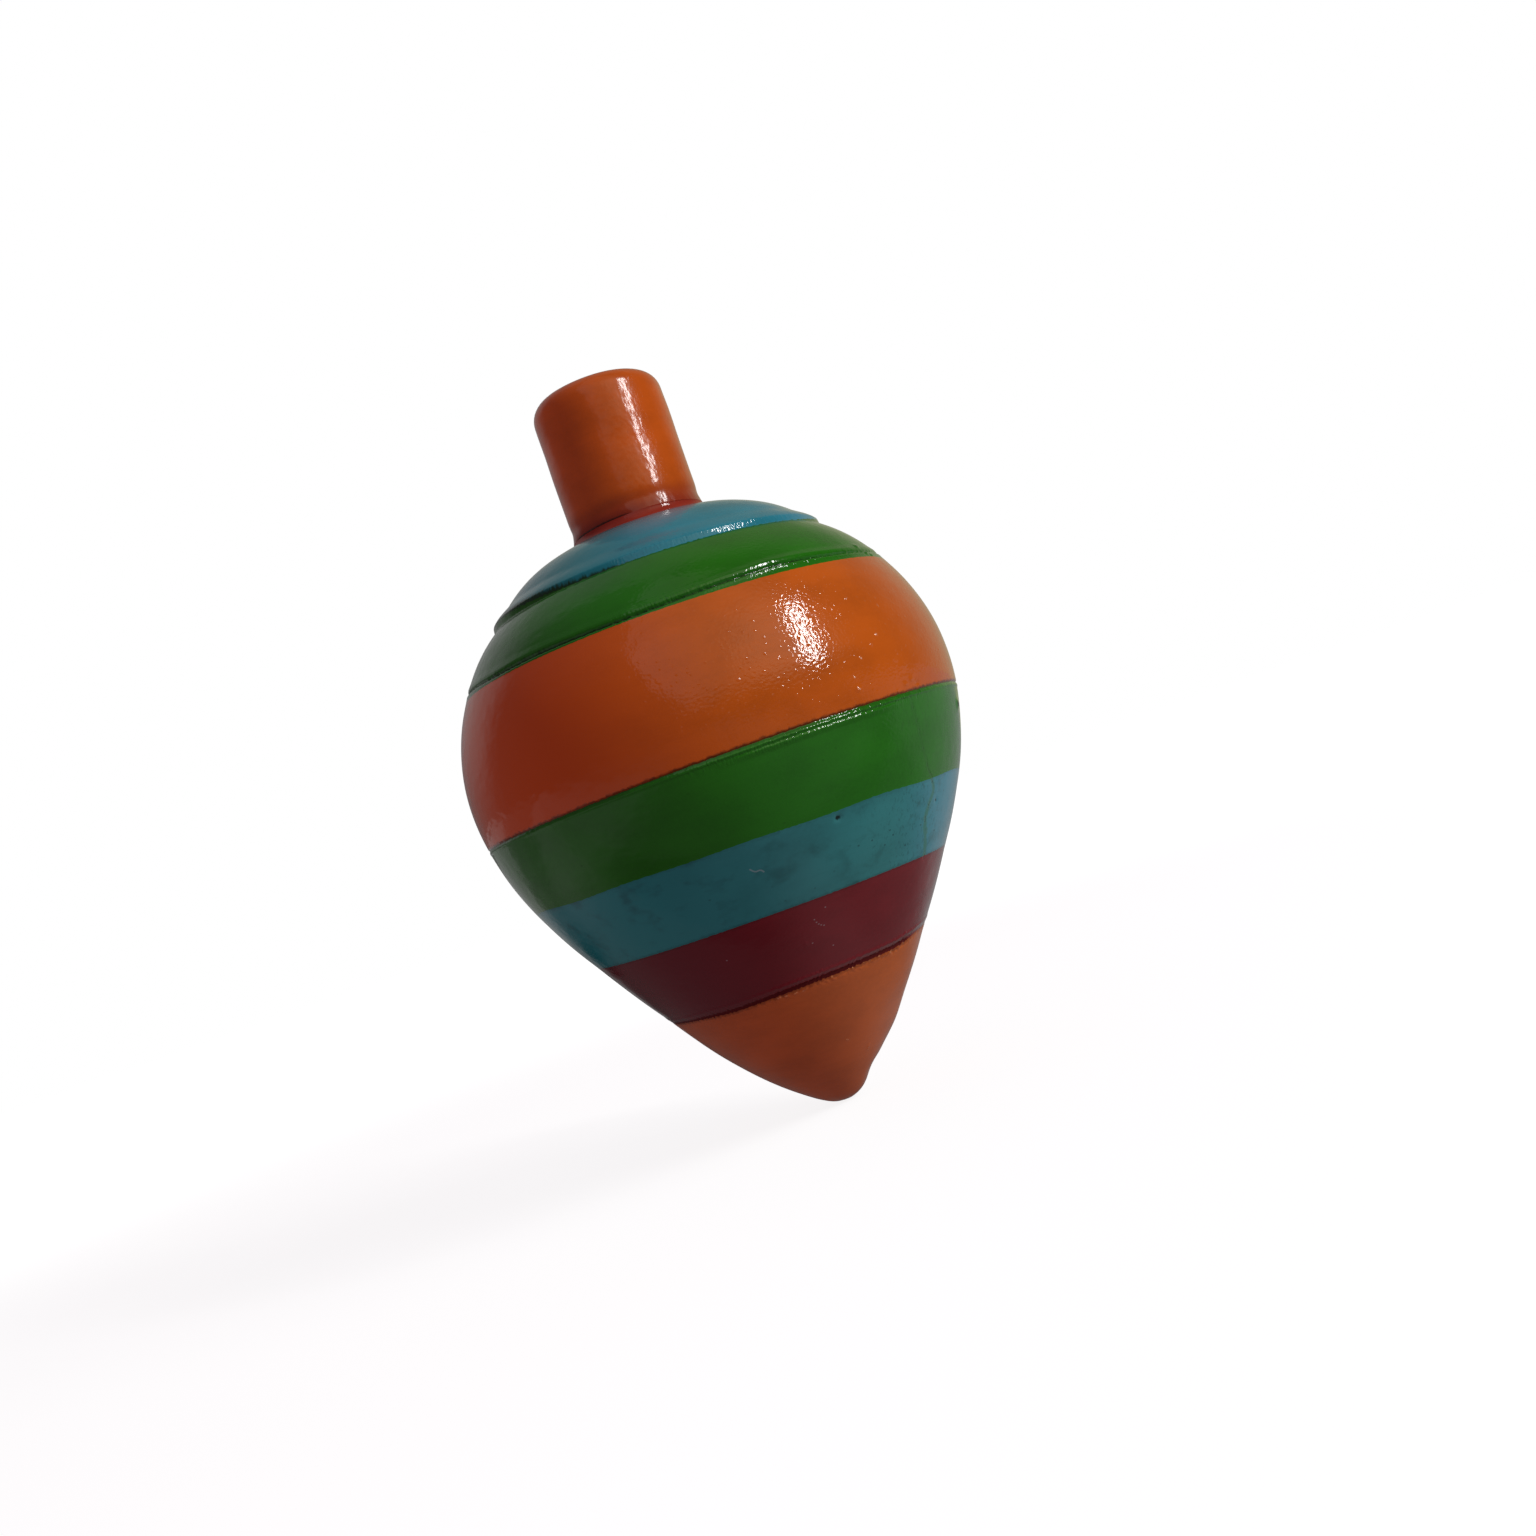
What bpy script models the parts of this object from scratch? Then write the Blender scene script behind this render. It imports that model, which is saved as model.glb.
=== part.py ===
"""Wooden spinning top: a turned body and a doweled stem, finished in bands of coloured lac.

The top stands upright on its tip, which is the origin. +Z runs up the spin axis to the stem.
All lengths are in metres.
"""
import math

import bpy

# Heights of the lac bands along the spin axis, from the tip up
TIP_HEIGHT = 0.0134
MAROON_HEIGHT = 0.0072
BLUE_HEIGHT = 0.0068
WAIST_HEIGHT = 0.0076
BELLY_HEIGHT = 0.0138
SHOULDER_HEIGHT = 0.0058
CROWN_HEIGHT = 0.0054
COLLAR_HEIGHT = 0.0010
STEM_HEIGHT = 0.0147

# Radii: the widest border, which is the waist's upper edge, and the stem
WAIST_RADIUS = 0.0246
STEM_RADIUS = 0.0067

# How much each band narrows away from the widest border, and how far the collar flares from the stem
SHOULDER_TAPER = 0.0050
BELLY_TAPER = 0.0024
WAIST_TAPER = 0.0024
BLUE_TAPER = 0.0039
MAROON_TAPER = 0.0049
COLLAR_FLARE = 0.0008

# Radii at the upper edge of the other bands
BELLY_RADIUS = WAIST_RADIUS - BELLY_TAPER
SHOULDER_RADIUS = BELLY_RADIUS - SHOULDER_TAPER
BLUE_RADIUS = WAIST_RADIUS - WAIST_TAPER
MAROON_RADIUS = BLUE_RADIUS - BLUE_TAPER
TIP_RADIUS = MAROON_RADIUS - MAROON_TAPER
CROWN_RADIUS = STEM_RADIUS + COLLAR_FLARE

# How far each band's arc stands out from the straight line between its edges
TIP_BULGE = 0.0006
MAROON_BULGE = 0.0001
BLUE_BULGE = 0.00015
WAIST_BULGE = 0.00025
BELLY_BULGE = 0.00125
SHOULDER_BULGE = 0.00045
CROWN_BULGE = 0.0012
COLLAR_HOLLOW = 0.00015

# Rounded ends of the tip and of the stem
NOSE_RADIUS = 0.0038
NOSE_ANGLE = math.radians(42)
STEM_EDGE_RADIUS = 0.0020

# Turned rings: the crown's overhanging lip, the shoulder's groove, the waist's lip, the maroon ridge
LIP_WIDTH = 0.0013
LIP_HEIGHT = 0.0004
GROOVE_WIDTH = 0.0006
GROOVE_DEPTH = 0.0003
GROOVE_ABOVE_BELLY = 0.0012
WAIST_LIP_WIDTH = 0.0010
WAIST_LIP_HEIGHT = 0.00020
RIDGE_WIDTH = 0.0008
RIDGE_HEIGHT = 0.00022
RIDGE_ABOVE_TIP = 0.0007

# Lac coats, the gap that they keep to the wood, and the gap between two coats
LAC_THICKNESS = 0.0006
SEAT_GAP = 0.0002
BORDER_GAP = 0.0002

# Joint between the stem and the body
TENON_RADIUS = 0.0044
TENON_LENGTH = 0.0140
TENON_CLEARANCE = 0.0002

# Facets: segments round the axis, steps along the outline, and edges that stay sharp
SEGMENTS = 48
STEP_ANGLE = math.radians(8)
LEAST_STEPS = 2
NOSE_STEPS = 4
EDGE_STEPS = 4
COLLAR_STEPS = 3
SHARP_ANGLE = math.radians(40)
MERGE_DISTANCE = 0.000001
RING_MARGIN = 0.00001

# Shapes of a turned ring: places across half its width, and shares of its height
BEAD_SHAPE = ((-1.0, 0.0), (-0.6, 0.75), (0.0, 1.0), (0.6, 0.75), (1.0, 0.0))
GROOVE_SHAPE = ((-1.0, 0.0), (0.0, -1.0), (1.0, 0.0))

WOOD_DEPTH = LAC_THICKNESS + SEAT_GAP
DOWEL_RADIUS = STEM_RADIUS - WOOD_DEPTH

# Colours of wood and lac
PALE_WOOD = (0.52, 0.33, 0.16)
DOWEL_WOOD = (0.45, 0.26, 0.12)
ORANGE_LAC = (0.45, 0.10, 0.014)
RED_LAC = (0.24, 0.020, 0.012)
BLUE_LAC = (0.05, 0.19, 0.25)
GREEN_LAC = (0.045, 0.15, 0.020)
MAROON_LAC = (0.11, 0.012, 0.020)
TIP_LAC = (0.33, 0.085, 0.025)
WOOD_ROUGHNESS = 0.6
LAC_ROUGHNESS = 0.25
TIP_ROUGHNESS = 0.35


def add(point, direction, distance):
    """The point that lies a distance from another along a direction."""
    return (point[0] + direction[0] * distance, point[1] + direction[1] * distance)


def arc_turn(start, end, bulge):
    """Half the angle through which an arc with this bulge turns."""
    return 2 * math.atan2(2 * bulge, math.dist(start, end))


def arc_outward(start, end, bulge, share):
    """The direction that faces out of an arc at a share of its length."""
    down = math.atan2(end[1] - start[1], end[0] - start[0])
    turned = down + arc_turn(start, end, bulge) * (1 - 2 * share)
    return (-math.sin(turned), math.cos(turned))


def arc_length(start, end, bulge):
    """Length of the arc from start to end."""
    turn = arc_turn(start, end, bulge)
    return math.dist(start, end) * turn / math.sin(turn)


def arc_point(start, end, bulge, share):
    """The point at a share of the length of the arc from start to end."""
    turn = arc_turn(start, end, bulge)
    radius = math.dist(start, end) / (2 * math.sin(turn))
    centre = add(start, arc_outward(start, end, bulge, 0), -radius)
    return add(centre, arc_outward(start, end, bulge, share), radius)


def ring(shape, centre, width, height):
    """Points of a turned ring, as pairs of a distance along the arc and a lift from it."""
    return [(centre + place * width / 2, lift * height) for place, lift in shape]


def ring_covers(points, place):
    """Whether a distance along the arc lies on a turned ring."""
    return points[0][0] - RING_MARGIN < place < points[-1][0] + RING_MARGIN


def arc_outline(start, end, bulge, steps, rings=()):
    """Points along an arc, with the turned rings in their places."""
    length = arc_length(start, end, bulge)
    stations = [pair for points in rings for pair in points]
    for step in range(steps + 1):
        place = length * step / steps
        if not any(ring_covers(points, place) for points in rings):
            stations.append((place, 0.0))
    outline = []
    for place, lift in sorted(stations):
        share = place / length
        point = arc_point(start, end, bulge, share)
        outline.append(add(point, arc_outward(start, end, bulge, share), lift))
    return outline


class Edge:
    """A border between two bands: a point on the lac and the direction that faces out of it."""

    def __init__(self, radius, height):
        self.point = (radius, height)
        self.outward = (0.0, 0.0)

    def face(self, direction):
        """Turns the border's outward direction towards one more direction."""
        summed = (self.outward[0] + direction[0], self.outward[1] + direction[1])
        size = math.hypot(*summed)
        self.outward = (summed[0] / size, summed[1] / size)

    def at(self, depth, slide=0.0):
        """The point at a depth under the lac, moved along the outline by slide."""
        along = (self.outward[1], -self.outward[0])
        return add(add(self.point, self.outward, -depth), along, slide)


class Band:
    """A stretch of the outline between two borders, as one arc."""

    def __init__(self, upper, lower, bulge):
        self.upper = upper
        self.lower = lower
        self.bulge = bulge
        turn = 2 * arc_turn(upper.point, lower.point, bulge)
        self.steps = max(LEAST_STEPS, math.ceil(turn / STEP_ANGLE))

    def ends(self, depth, gap):
        """The two ends of the arc at a depth under the lac, drawn in by half a gap."""
        return self.upper.at(depth, gap / 2), self.lower.at(depth, -gap / 2)

    def outline(self, depth, gap=0.0, rings=()):
        """Points down the arc at a depth under the lac."""
        start, end = self.ends(depth, gap)
        return arc_outline(start, end, self.bulge, self.steps, rings)

    def length(self):
        """Length of the outer arc between the gaps at its ends."""
        start, end = self.ends(0.0, BORDER_GAP)
        return arc_length(start, end, self.bulge)


def make_edges():
    """Borders of the bands, named for the band below each one."""
    nose_height = NOSE_RADIUS * (1 - math.cos(NOSE_ANGLE))
    levels = (
        ("nose", NOSE_RADIUS * math.sin(NOSE_ANGLE), nose_height),
        ("tip", TIP_RADIUS, TIP_HEIGHT - nose_height),
        ("maroon", MAROON_RADIUS, MAROON_HEIGHT),
        ("blue", BLUE_RADIUS, BLUE_HEIGHT),
        ("waist", WAIST_RADIUS, WAIST_HEIGHT),
        ("belly", BELLY_RADIUS, BELLY_HEIGHT),
        ("shoulder", SHOULDER_RADIUS, SHOULDER_HEIGHT),
        ("crown", CROWN_RADIUS, CROWN_HEIGHT),
    )
    edges = {}
    height = 0.0
    for name, radius, rise in levels:
        height += rise
        edges[name] = Edge(radius, height)
    return edges


def make_bands(edges):
    """Bands of the body, from the crown down to the tip, on shared borders."""
    bands = {
        "crown": Band(edges["crown"], edges["shoulder"], CROWN_BULGE),
        "shoulder": Band(edges["shoulder"], edges["belly"], SHOULDER_BULGE),
        "belly": Band(edges["belly"], edges["waist"], BELLY_BULGE),
        "waist": Band(edges["waist"], edges["blue"], WAIST_BULGE),
        "blue": Band(edges["blue"], edges["maroon"], BLUE_BULGE),
        "maroon": Band(edges["maroon"], edges["tip"], MAROON_BULGE),
        "tip": Band(edges["tip"], edges["nose"], TIP_BULGE),
    }
    for band in bands.values():
        start, end = band.upper.point, band.lower.point
        band.upper.face(arc_outward(start, end, band.bulge, 0))
        if band.lower is not edges["nose"]:
            band.lower.face(arc_outward(start, end, band.bulge, 1))
    edges["nose"].face((math.sin(NOSE_ANGLE), -math.cos(NOSE_ANGLE)))
    return bands


def nose_outline(depth):
    """Points round the nose at a depth under the lac, from its upper edge to the axis."""
    radius = NOSE_RADIUS - depth
    outline = []
    for step in range(1, NOSE_STEPS + 1):
        angle = NOSE_ANGLE * (1 - step / NOSE_STEPS)
        outline.append((radius * math.sin(angle), NOSE_RADIUS - radius * math.cos(angle)))
    return outline


def stem_end_outline(top, depth):
    """Points of the stem's rounded end at a depth under the lac, from the axis to its side."""
    radius = STEM_EDGE_RADIUS - depth
    centre = (STEM_RADIUS - STEM_EDGE_RADIUS, top - STEM_EDGE_RADIUS)
    outline = [(0.0, top - depth)]
    for step in range(EDGE_STEPS + 1):
        angle = math.pi / 2 * step / EDGE_STEPS
        outline.append((centre[0] + radius * math.sin(angle), centre[1] + radius * math.cos(angle)))
    return outline


def finish_material(name, colour, roughness):
    """A plain dielectric finish with one colour."""
    material = bpy.data.materials.new(name)
    material.use_nodes = True
    shader = material.node_tree.nodes["Principled BSDF"]
    shader.inputs["Base Color"].default_value = (*colour, 1.0)
    shader.inputs["Roughness"].default_value = roughness
    shader.inputs["Metallic"].default_value = 0.0
    material.diffuse_color = (*colour, 1.0)
    return material


def turned(collection, name, outline, closed, colour, roughness):
    """A turned piece: an outline swept once round the spin axis."""
    mesh = bpy.data.meshes.new(name + "_outline")
    points = [(radius, 0.0, height) for radius, height in outline]
    edges = [(index, index + 1) for index in range(len(points) - 1)]
    if closed:
        edges.append((len(points) - 1, 0))
    mesh.from_pydata(points, edges, [])
    piece = bpy.data.objects.new(name, mesh)
    collection.objects.link(piece)
    screw = piece.modifiers.new("turning", "SCREW")
    screw.axis = "Z"
    screw.angle = 2 * math.pi
    screw.steps = SEGMENTS
    screw.render_steps = SEGMENTS
    screw.use_merge_vertices = True
    screw.merge_threshold = MERGE_DISTANCE
    evaluated = piece.evaluated_get(bpy.context.evaluated_depsgraph_get())
    solid = bpy.data.meshes.new_from_object(evaluated)
    solid.name = name
    piece.modifiers.clear()
    piece.data = solid
    bpy.data.meshes.remove(mesh)
    solid.shade_smooth()
    solid.set_sharp_from_angle(angle=SHARP_ANGLE)
    solid.materials.append(finish_material(name + "_finish", colour, roughness))
    return piece


def ring_coat(band, rings=()):
    """Outline of a lac coat that goes round the body as a ring."""
    outer = band.outline(0.0, BORDER_GAP, rings)
    inner = band.outline(LAC_THICKNESS, BORDER_GAP)
    return outer + inner[::-1]


def crown_rings(band):
    """The lip at the crown's lower edge."""
    return [ring(BEAD_SHAPE, band.length() - LIP_WIDTH / 2, LIP_WIDTH, LIP_HEIGHT)]


def shoulder_rings(band):
    """The groove just above the belly."""
    return [ring(GROOVE_SHAPE, band.length() - GROOVE_ABOVE_BELLY, GROOVE_WIDTH, GROOVE_DEPTH)]


def waist_rings(band):
    """The lip at the waist's upper edge."""
    return [ring(BEAD_SHAPE, WAIST_LIP_WIDTH / 2, WAIST_LIP_WIDTH, WAIST_LIP_HEIGHT)]


def maroon_rings(band):
    """The ridge just above the tip."""
    return [ring(BEAD_SHAPE, band.length() - RIDGE_ABOVE_TIP, RIDGE_WIDTH, RIDGE_HEIGHT)]


def body_outline(bands, seat_height, tenon_foot):
    """The turned body: the socket for the stem, the flat seat round it, then down the outside."""
    socket_radius = TENON_RADIUS + TENON_CLEARANCE
    socket_floor = tenon_foot - TENON_CLEARANCE
    outline = [(0.0, socket_floor), (socket_radius, socket_floor), (socket_radius, seat_height)]
    for band in bands.values():
        start = 0 if band is bands["crown"] else 1
        outline += band.outline(WOOD_DEPTH)[start:]
    return outline + nose_outline(WOOD_DEPTH)


def dowel_outline(stem_top, dowel_foot, tenon_foot):
    """The stem: its rounded end, its side, the shoulder that seats on the body, and its tenon."""
    outline = stem_end_outline(stem_top, WOOD_DEPTH)
    outline += [(DOWEL_RADIUS, dowel_foot), (TENON_RADIUS, dowel_foot)]
    return outline + [(TENON_RADIUS, tenon_foot), (0.0, tenon_foot)]


def stem_coat(stem_top, coat_foot):
    """The lac on the stem: a cap over its end and a sleeve down its side."""
    outer = stem_end_outline(stem_top, 0.0) + [(STEM_RADIUS, coat_foot)]
    inner = stem_end_outline(stem_top, LAC_THICKNESS) + [(STEM_RADIUS - LAC_THICKNESS, coat_foot)]
    return outer + inner[::-1]


def collar_coat(crown_edge, collar_foot):
    """The flared ring of lac round the foot of the stem."""
    start = (STEM_RADIUS, crown_edge.point[1] + COLLAR_HEIGHT)
    end = crown_edge.at(0.0, -BORDER_GAP / 2)
    outer = arc_outline(start, end, -COLLAR_HOLLOW, COLLAR_STEPS)
    inner_radius = STEM_RADIUS - LAC_THICKNESS
    return outer + [(end[0], collar_foot), (inner_radius, collar_foot), (inner_radius, start[1])]


def tip_coat(band):
    """The lac on the tip: a cup round the point."""
    inner = band.outline(LAC_THICKNESS)
    inner[0] = band.upper.at(LAC_THICKNESS, BORDER_GAP / 2)
    outer = band.outline(0.0)
    outer[0] = band.upper.at(0.0, BORDER_GAP / 2)
    return (inner + nose_outline(LAC_THICKNESS))[::-1] + outer + nose_outline(0.0)


def build_top():
    """Builds every piece of the top into one collection."""
    for old in list(bpy.data.objects):
        bpy.data.objects.remove(old, do_unlink=True)
    collection = bpy.data.collections.new("spinning_top")
    bpy.context.scene.collection.children.link(collection)

    edges = make_edges()
    bands = make_bands(edges)
    crown_edge = edges["crown"]
    seat_height = crown_edge.at(WOOD_DEPTH)[1]
    dowel_foot = seat_height + SEAT_GAP
    tenon_foot = dowel_foot - TENON_LENGTH
    stem_foot = crown_edge.point[1] + COLLAR_HEIGHT
    stem_top = stem_foot + STEM_HEIGHT

    wood = body_outline(bands, seat_height, tenon_foot)
    turned(collection, "turned_body", wood, False, PALE_WOOD, WOOD_ROUGHNESS)
    dowel = dowel_outline(stem_top, dowel_foot, tenon_foot)
    turned(collection, "stem_dowel", dowel, False, DOWEL_WOOD, WOOD_ROUGHNESS)
    sleeve = stem_coat(stem_top, stem_foot + BORDER_GAP)
    turned(collection, "stem_lac", sleeve, False, ORANGE_LAC, LAC_ROUGHNESS)
    collar = collar_coat(crown_edge, seat_height + SEAT_GAP)
    turned(collection, "stem_collar_lac", collar, True, RED_LAC, LAC_ROUGHNESS)

    ring_bands = (
        ("crown", "crown_lac", crown_rings, BLUE_LAC),
        ("shoulder", "shoulder_lac", shoulder_rings, GREEN_LAC),
        ("belly", "belly_lac", None, ORANGE_LAC),
        ("waist", "waist_lac", waist_rings, GREEN_LAC),
        ("blue", "blue_band_lac", None, BLUE_LAC),
        ("maroon", "maroon_band_lac", maroon_rings, MAROON_LAC),
    )
    for band_name, piece_name, make_rings, colour in ring_bands:
        band = bands[band_name]
        rings = make_rings(band) if make_rings else ()
        turned(collection, piece_name, ring_coat(band, rings), True, colour, LAC_ROUGHNESS)
    turned(collection, "tip_lac", tip_coat(bands["tip"]), False, TIP_LAC, TIP_ROUGHNESS)


build_top()
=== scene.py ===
"""Looks of the wooden spinning top: glossy bands of coloured lac over a turned wooden body.

Lengths are in millimetres here, and meshes are made in metres. The tip is the origin and +Z is the
spin axis. Angles go round the axis from the camera's side, -Y, towards +X.
"""

import math
from types import SimpleNamespace

import bpy
import numpy as np
from mathutils import Matrix, Vector


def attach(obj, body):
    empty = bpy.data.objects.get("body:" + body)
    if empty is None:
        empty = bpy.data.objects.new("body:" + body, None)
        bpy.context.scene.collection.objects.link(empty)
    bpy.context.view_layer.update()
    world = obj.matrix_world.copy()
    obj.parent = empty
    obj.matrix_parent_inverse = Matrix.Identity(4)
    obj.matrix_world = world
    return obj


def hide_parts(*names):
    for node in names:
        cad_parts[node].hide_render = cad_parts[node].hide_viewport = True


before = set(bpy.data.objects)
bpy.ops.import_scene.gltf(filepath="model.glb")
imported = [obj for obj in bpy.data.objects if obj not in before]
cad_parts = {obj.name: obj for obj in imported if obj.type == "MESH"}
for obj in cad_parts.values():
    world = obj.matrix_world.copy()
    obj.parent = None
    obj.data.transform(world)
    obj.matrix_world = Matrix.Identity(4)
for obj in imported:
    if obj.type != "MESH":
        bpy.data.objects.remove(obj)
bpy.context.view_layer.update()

MM = 0.001

# Borders of the lac bands on the body, from the crown down: radius and height
CROWN_EDGE = (7.5, 60.0)
SHOULDER_EDGE = (17.2, 54.6)
BELLY_EDGE = (22.2, 48.8)
WAIST_EDGE = (24.6, 35.0)
BLUE_EDGE = (22.2, 27.4)
MAROON_EDGE = (18.3, 20.6)
TIP_EDGE = (13.4, 13.4)

# Each band from border to border, named after the band below it, and how far its arc stands out
BAND_ARCS = (
    ("shoulder", CROWN_EDGE, SHOULDER_EDGE, 1.2),
    ("belly", SHOULDER_EDGE, BELLY_EDGE, 0.45),
    ("waist", BELLY_EDGE, WAIST_EDGE, 1.25),
    ("blue", WAIST_EDGE, BLUE_EDGE, 0.25),
    ("maroon", BLUE_EDGE, MAROON_EDGE, 0.15),
    ("tip", MAROON_EDGE, TIP_EDGE, 0.1),
)
BODY_BLUR = 0.5
CREASE_BLUR = 0.1
CREASE_REACH = 0.9

# The tip's point, rubbed down by hand until it stood off the axis
TIP_BULGE = 0.6
NOSE_RADIUS = 3.8
NOSE_ANGLE = math.radians(42)
NOSE_SHIFT = 0.7
NOSE_SHIFT_HEIGHT = 6.0

# Stem and the flared collar at its foot
STEM_RADIUS = 6.7
STEM_TOP = 75.7
STEM_FOOT = 61.0
STEM_EDGE_RADIUS = 2.0
STEM_DOME = 0.12
STEM_BLUR = 0.25
STEM_TOP_POINTS = 200
STEM_SIDE_POINTS = 400
COLLAR_HOLLOW = 0.15
COLLAR_BLUR = 0.1
COLLAR_ROWS = 16

# Turned rings. A ring with facets has a start, a rise, a fall and a height
LIP_RISE = 2.2
LIP_FALL = 0.6
LIP_HEIGHT = 0.4
GROOVE_HALF_WIDTH = 0.15
GROOVE_DEPTH = 0.21
GROOVE_WORN = 0.09
GROOVE_RAGGED = 0.15
GROOVE_ANGLES = (-180, -90, -70, -50, -34, -10, 0, 11, 19, 27, 36, 45, 60, 90, 180)
GROOVE_HEIGHTS = (1.2, 1.1, 0.8, 0.45, 0.50, 0.38, 0.46, 0.68, 0.85, 1.04, 1.0, 0.85, 0.8, 1.0, 1.2)
GROOVE_FACETS = (0.13, 0.38, 0.60, 0.12)
GROOVE_ROUND = 0.05
WAIST_FACETS = (0.08, 0.24, 0.20, 0.11)
GLINT_FACETS = (0.52, 0.22, 0.45, 0.10)
WAIST_SEAM = 0.10
RIDGE_WIDTH = 0.65
RIDGE_HEIGHT = 0.075
RIDGE_ABOVE_TIP = 0.7
CRUMB_HEIGHT = 0.022
RIPPLE_HEIGHT = 0.010

# Lac coats
LAC_THICKNESS = 0.6
BORDER_GAP = 0.004
POLE_GAP = 0.05
LEAST_RADIUS = 0.02

# What a surface field says far from a border, and beside a pole that has none
FAR = 5.0
NO_BORDER = 9.0

# Mesh density
SEGMENTS = 640
OUTLINE_STEP = 0.02
ROW_STEP = 0.24
FINE_ROW_STEP = 0.06
INNER_ROWS = 6
STEM_INNER_ROWS = 18

ANGLES = np.linspace(-math.pi, math.pi, SEGMENTS, endpoint=False)
DEGREES = np.degrees(ANGLES)
NO_FACES = np.zeros((0, 3), dtype=int)


def smoothstep(low, high, value):
    """0 at low, 1 at high, and a smooth change between them."""
    share = np.clip((value - low) / (high - low), 0.0, 1.0)
    return share * share * (3 - 2 * share)


def hump(value, centre, width):
    """1 at a centre, falling smoothly towards 0 on both sides."""
    return np.exp(-((value - centre) / width) ** 2)


def away_from(degrees):
    """How many degrees each angle lies from a direction, from 0 to 180."""
    return np.abs((DEGREES - degrees + 180) % 360 - 180)


def sector(start, full, late, end):
    """1 from full to late in degrees, with a smooth rise from start and a smooth fall to end."""
    return smoothstep(start, full, DEGREES) * smoothstep(end, late, DEGREES)


def around(degrees):
    """Each angle from a direction in degrees, in radians from -pi to pi."""
    return (ANGLES - np.radians(degrees) + math.pi) % (2 * math.pi) - math.pi


def arc(start, end, bulge):
    """Points along an arc from start to end, close together."""
    chord = math.dist(start, end)
    turn = 2 * math.atan2(2 * bulge, chord)
    radius = chord / (2 * math.sin(turn))
    share = np.linspace(0, 1, int(chord / OUTLINE_STEP) + 2)
    heading = math.atan2(end[1] - start[1], end[0] - start[0]) + turn * (1 - 2 * share)
    outward = np.stack([-np.sin(heading), np.cos(heading)], axis=1)
    return np.array(start) + (outward - outward[0]) * radius


def round_arc(centre, radius, first, last):
    """Points along an arc given by its centre and two angles from +Z towards +X."""
    angle = np.linspace(first, last, int(abs(last - first) * radius / OUTLINE_STEP) + 2)
    return np.stack([centre[0] + radius * np.sin(angle), centre[1] + radius * np.cos(angle)], axis=1)


def blurred(values, width):
    """Values along a line, smoothed over a width in millimetres, with the ends held."""
    reach = int(3 * width / OUTLINE_STEP)
    offsets = np.arange(-reach, reach + 1) * OUTLINE_STEP
    weights = np.exp(-0.5 * (offsets / width) ** 2)
    padded = np.pad(values, reach, mode="reflect", reflect_type="odd")
    return np.convolve(padded, weights / weights.sum(), mode="valid")


class Outline:
    """A turned outline, read by the distance along it from its upper end."""

    def __init__(self, points, blur, crease=None):
        steps = np.hypot(*np.diff(points, axis=0).T)
        kept = np.concatenate([[True], steps > 1e-9])
        points = points[kept]
        along = np.concatenate([[0.0], np.cumsum(np.hypot(*np.diff(points, axis=0).T))])
        self.length = along[-1]
        self.along = np.linspace(0, self.length, int(self.length / OUTLINE_STEP) + 1)
        columns = []
        for values in points.T:
            even = np.interp(self.along, along, values)
            smooth = blurred(even, blur)
            if crease is not None:
                near = hump(self.along, crease, CREASE_REACH)
                smooth = near * blurred(even, CREASE_BLUR) + (1 - near) * smooth
            columns.append(smooth)
        self.radius, self.height = columns
        across = np.gradient(self.radius, self.along)
        down = np.gradient(self.height, self.along)
        size = np.hypot(across, down)
        self.out_radius = -down / size
        self.out_height = across / size

    def at(self, place):
        """Radius, height and outward direction at a distance along the outline."""
        table = (self.radius, self.height, self.out_radius, self.out_height)
        return [np.interp(place, self.along, values) for values in table]

    def place_of(self, height):
        """Distance along the outline at which it passes a height."""
        return np.interp(-height, -self.height, self.along)


def waves(seed, count, turns, along):
    """A seeded ripple: whole waves round the axis, and waves per millimetre along it."""
    rng = np.random.default_rng(seed)
    round_axis = rng.integers(turns[0], turns[1] + 1, count)
    down_axis = rng.uniform(-along, along, count) * 2 * math.pi
    phase = rng.uniform(0, 2 * math.pi, count)

    def ripple(angle, place):
        total = np.zeros(np.broadcast(angle, place).shape)
        for turn, down, start in zip(round_axis, down_axis, phase):
            total += np.cos(turn * angle + down * place + start)
        return total * math.sqrt(2 / count)

    return ripple


def facets(offset, start, rise, fall, height):
    """A ring that rises straight over one width and falls over another."""
    past = offset - start
    return height * np.clip(np.minimum(past / rise, (rise + fall - past) / fall), 0.0, None)


def make_body_outline():
    """The outline of the body under its crown edge, and where each border lies along it."""
    nose_edge = (NOSE_RADIUS * math.sin(NOSE_ANGLE), NOSE_RADIUS * (1 - math.cos(NOSE_ANGLE)))
    chains = []
    borders = {"crown": 0.0}
    length = 0.0
    for below, start, end, bulge in BAND_ARCS:
        points = arc(start, end, bulge)
        chains.append(points)
        length += np.hypot(*np.diff(points, axis=0).T).sum()
        borders[below] = length
    chains.append(arc(TIP_EDGE, nose_edge, TIP_BULGE))
    chains.append(round_arc((0.0, NOSE_RADIUS), NOSE_RADIUS, math.pi - NOSE_ANGLE, math.pi))
    outline = Outline(np.concatenate(chains), BODY_BLUR, borders["shoulder"])
    borders["pole"] = outline.length
    return outline, borders


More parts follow.
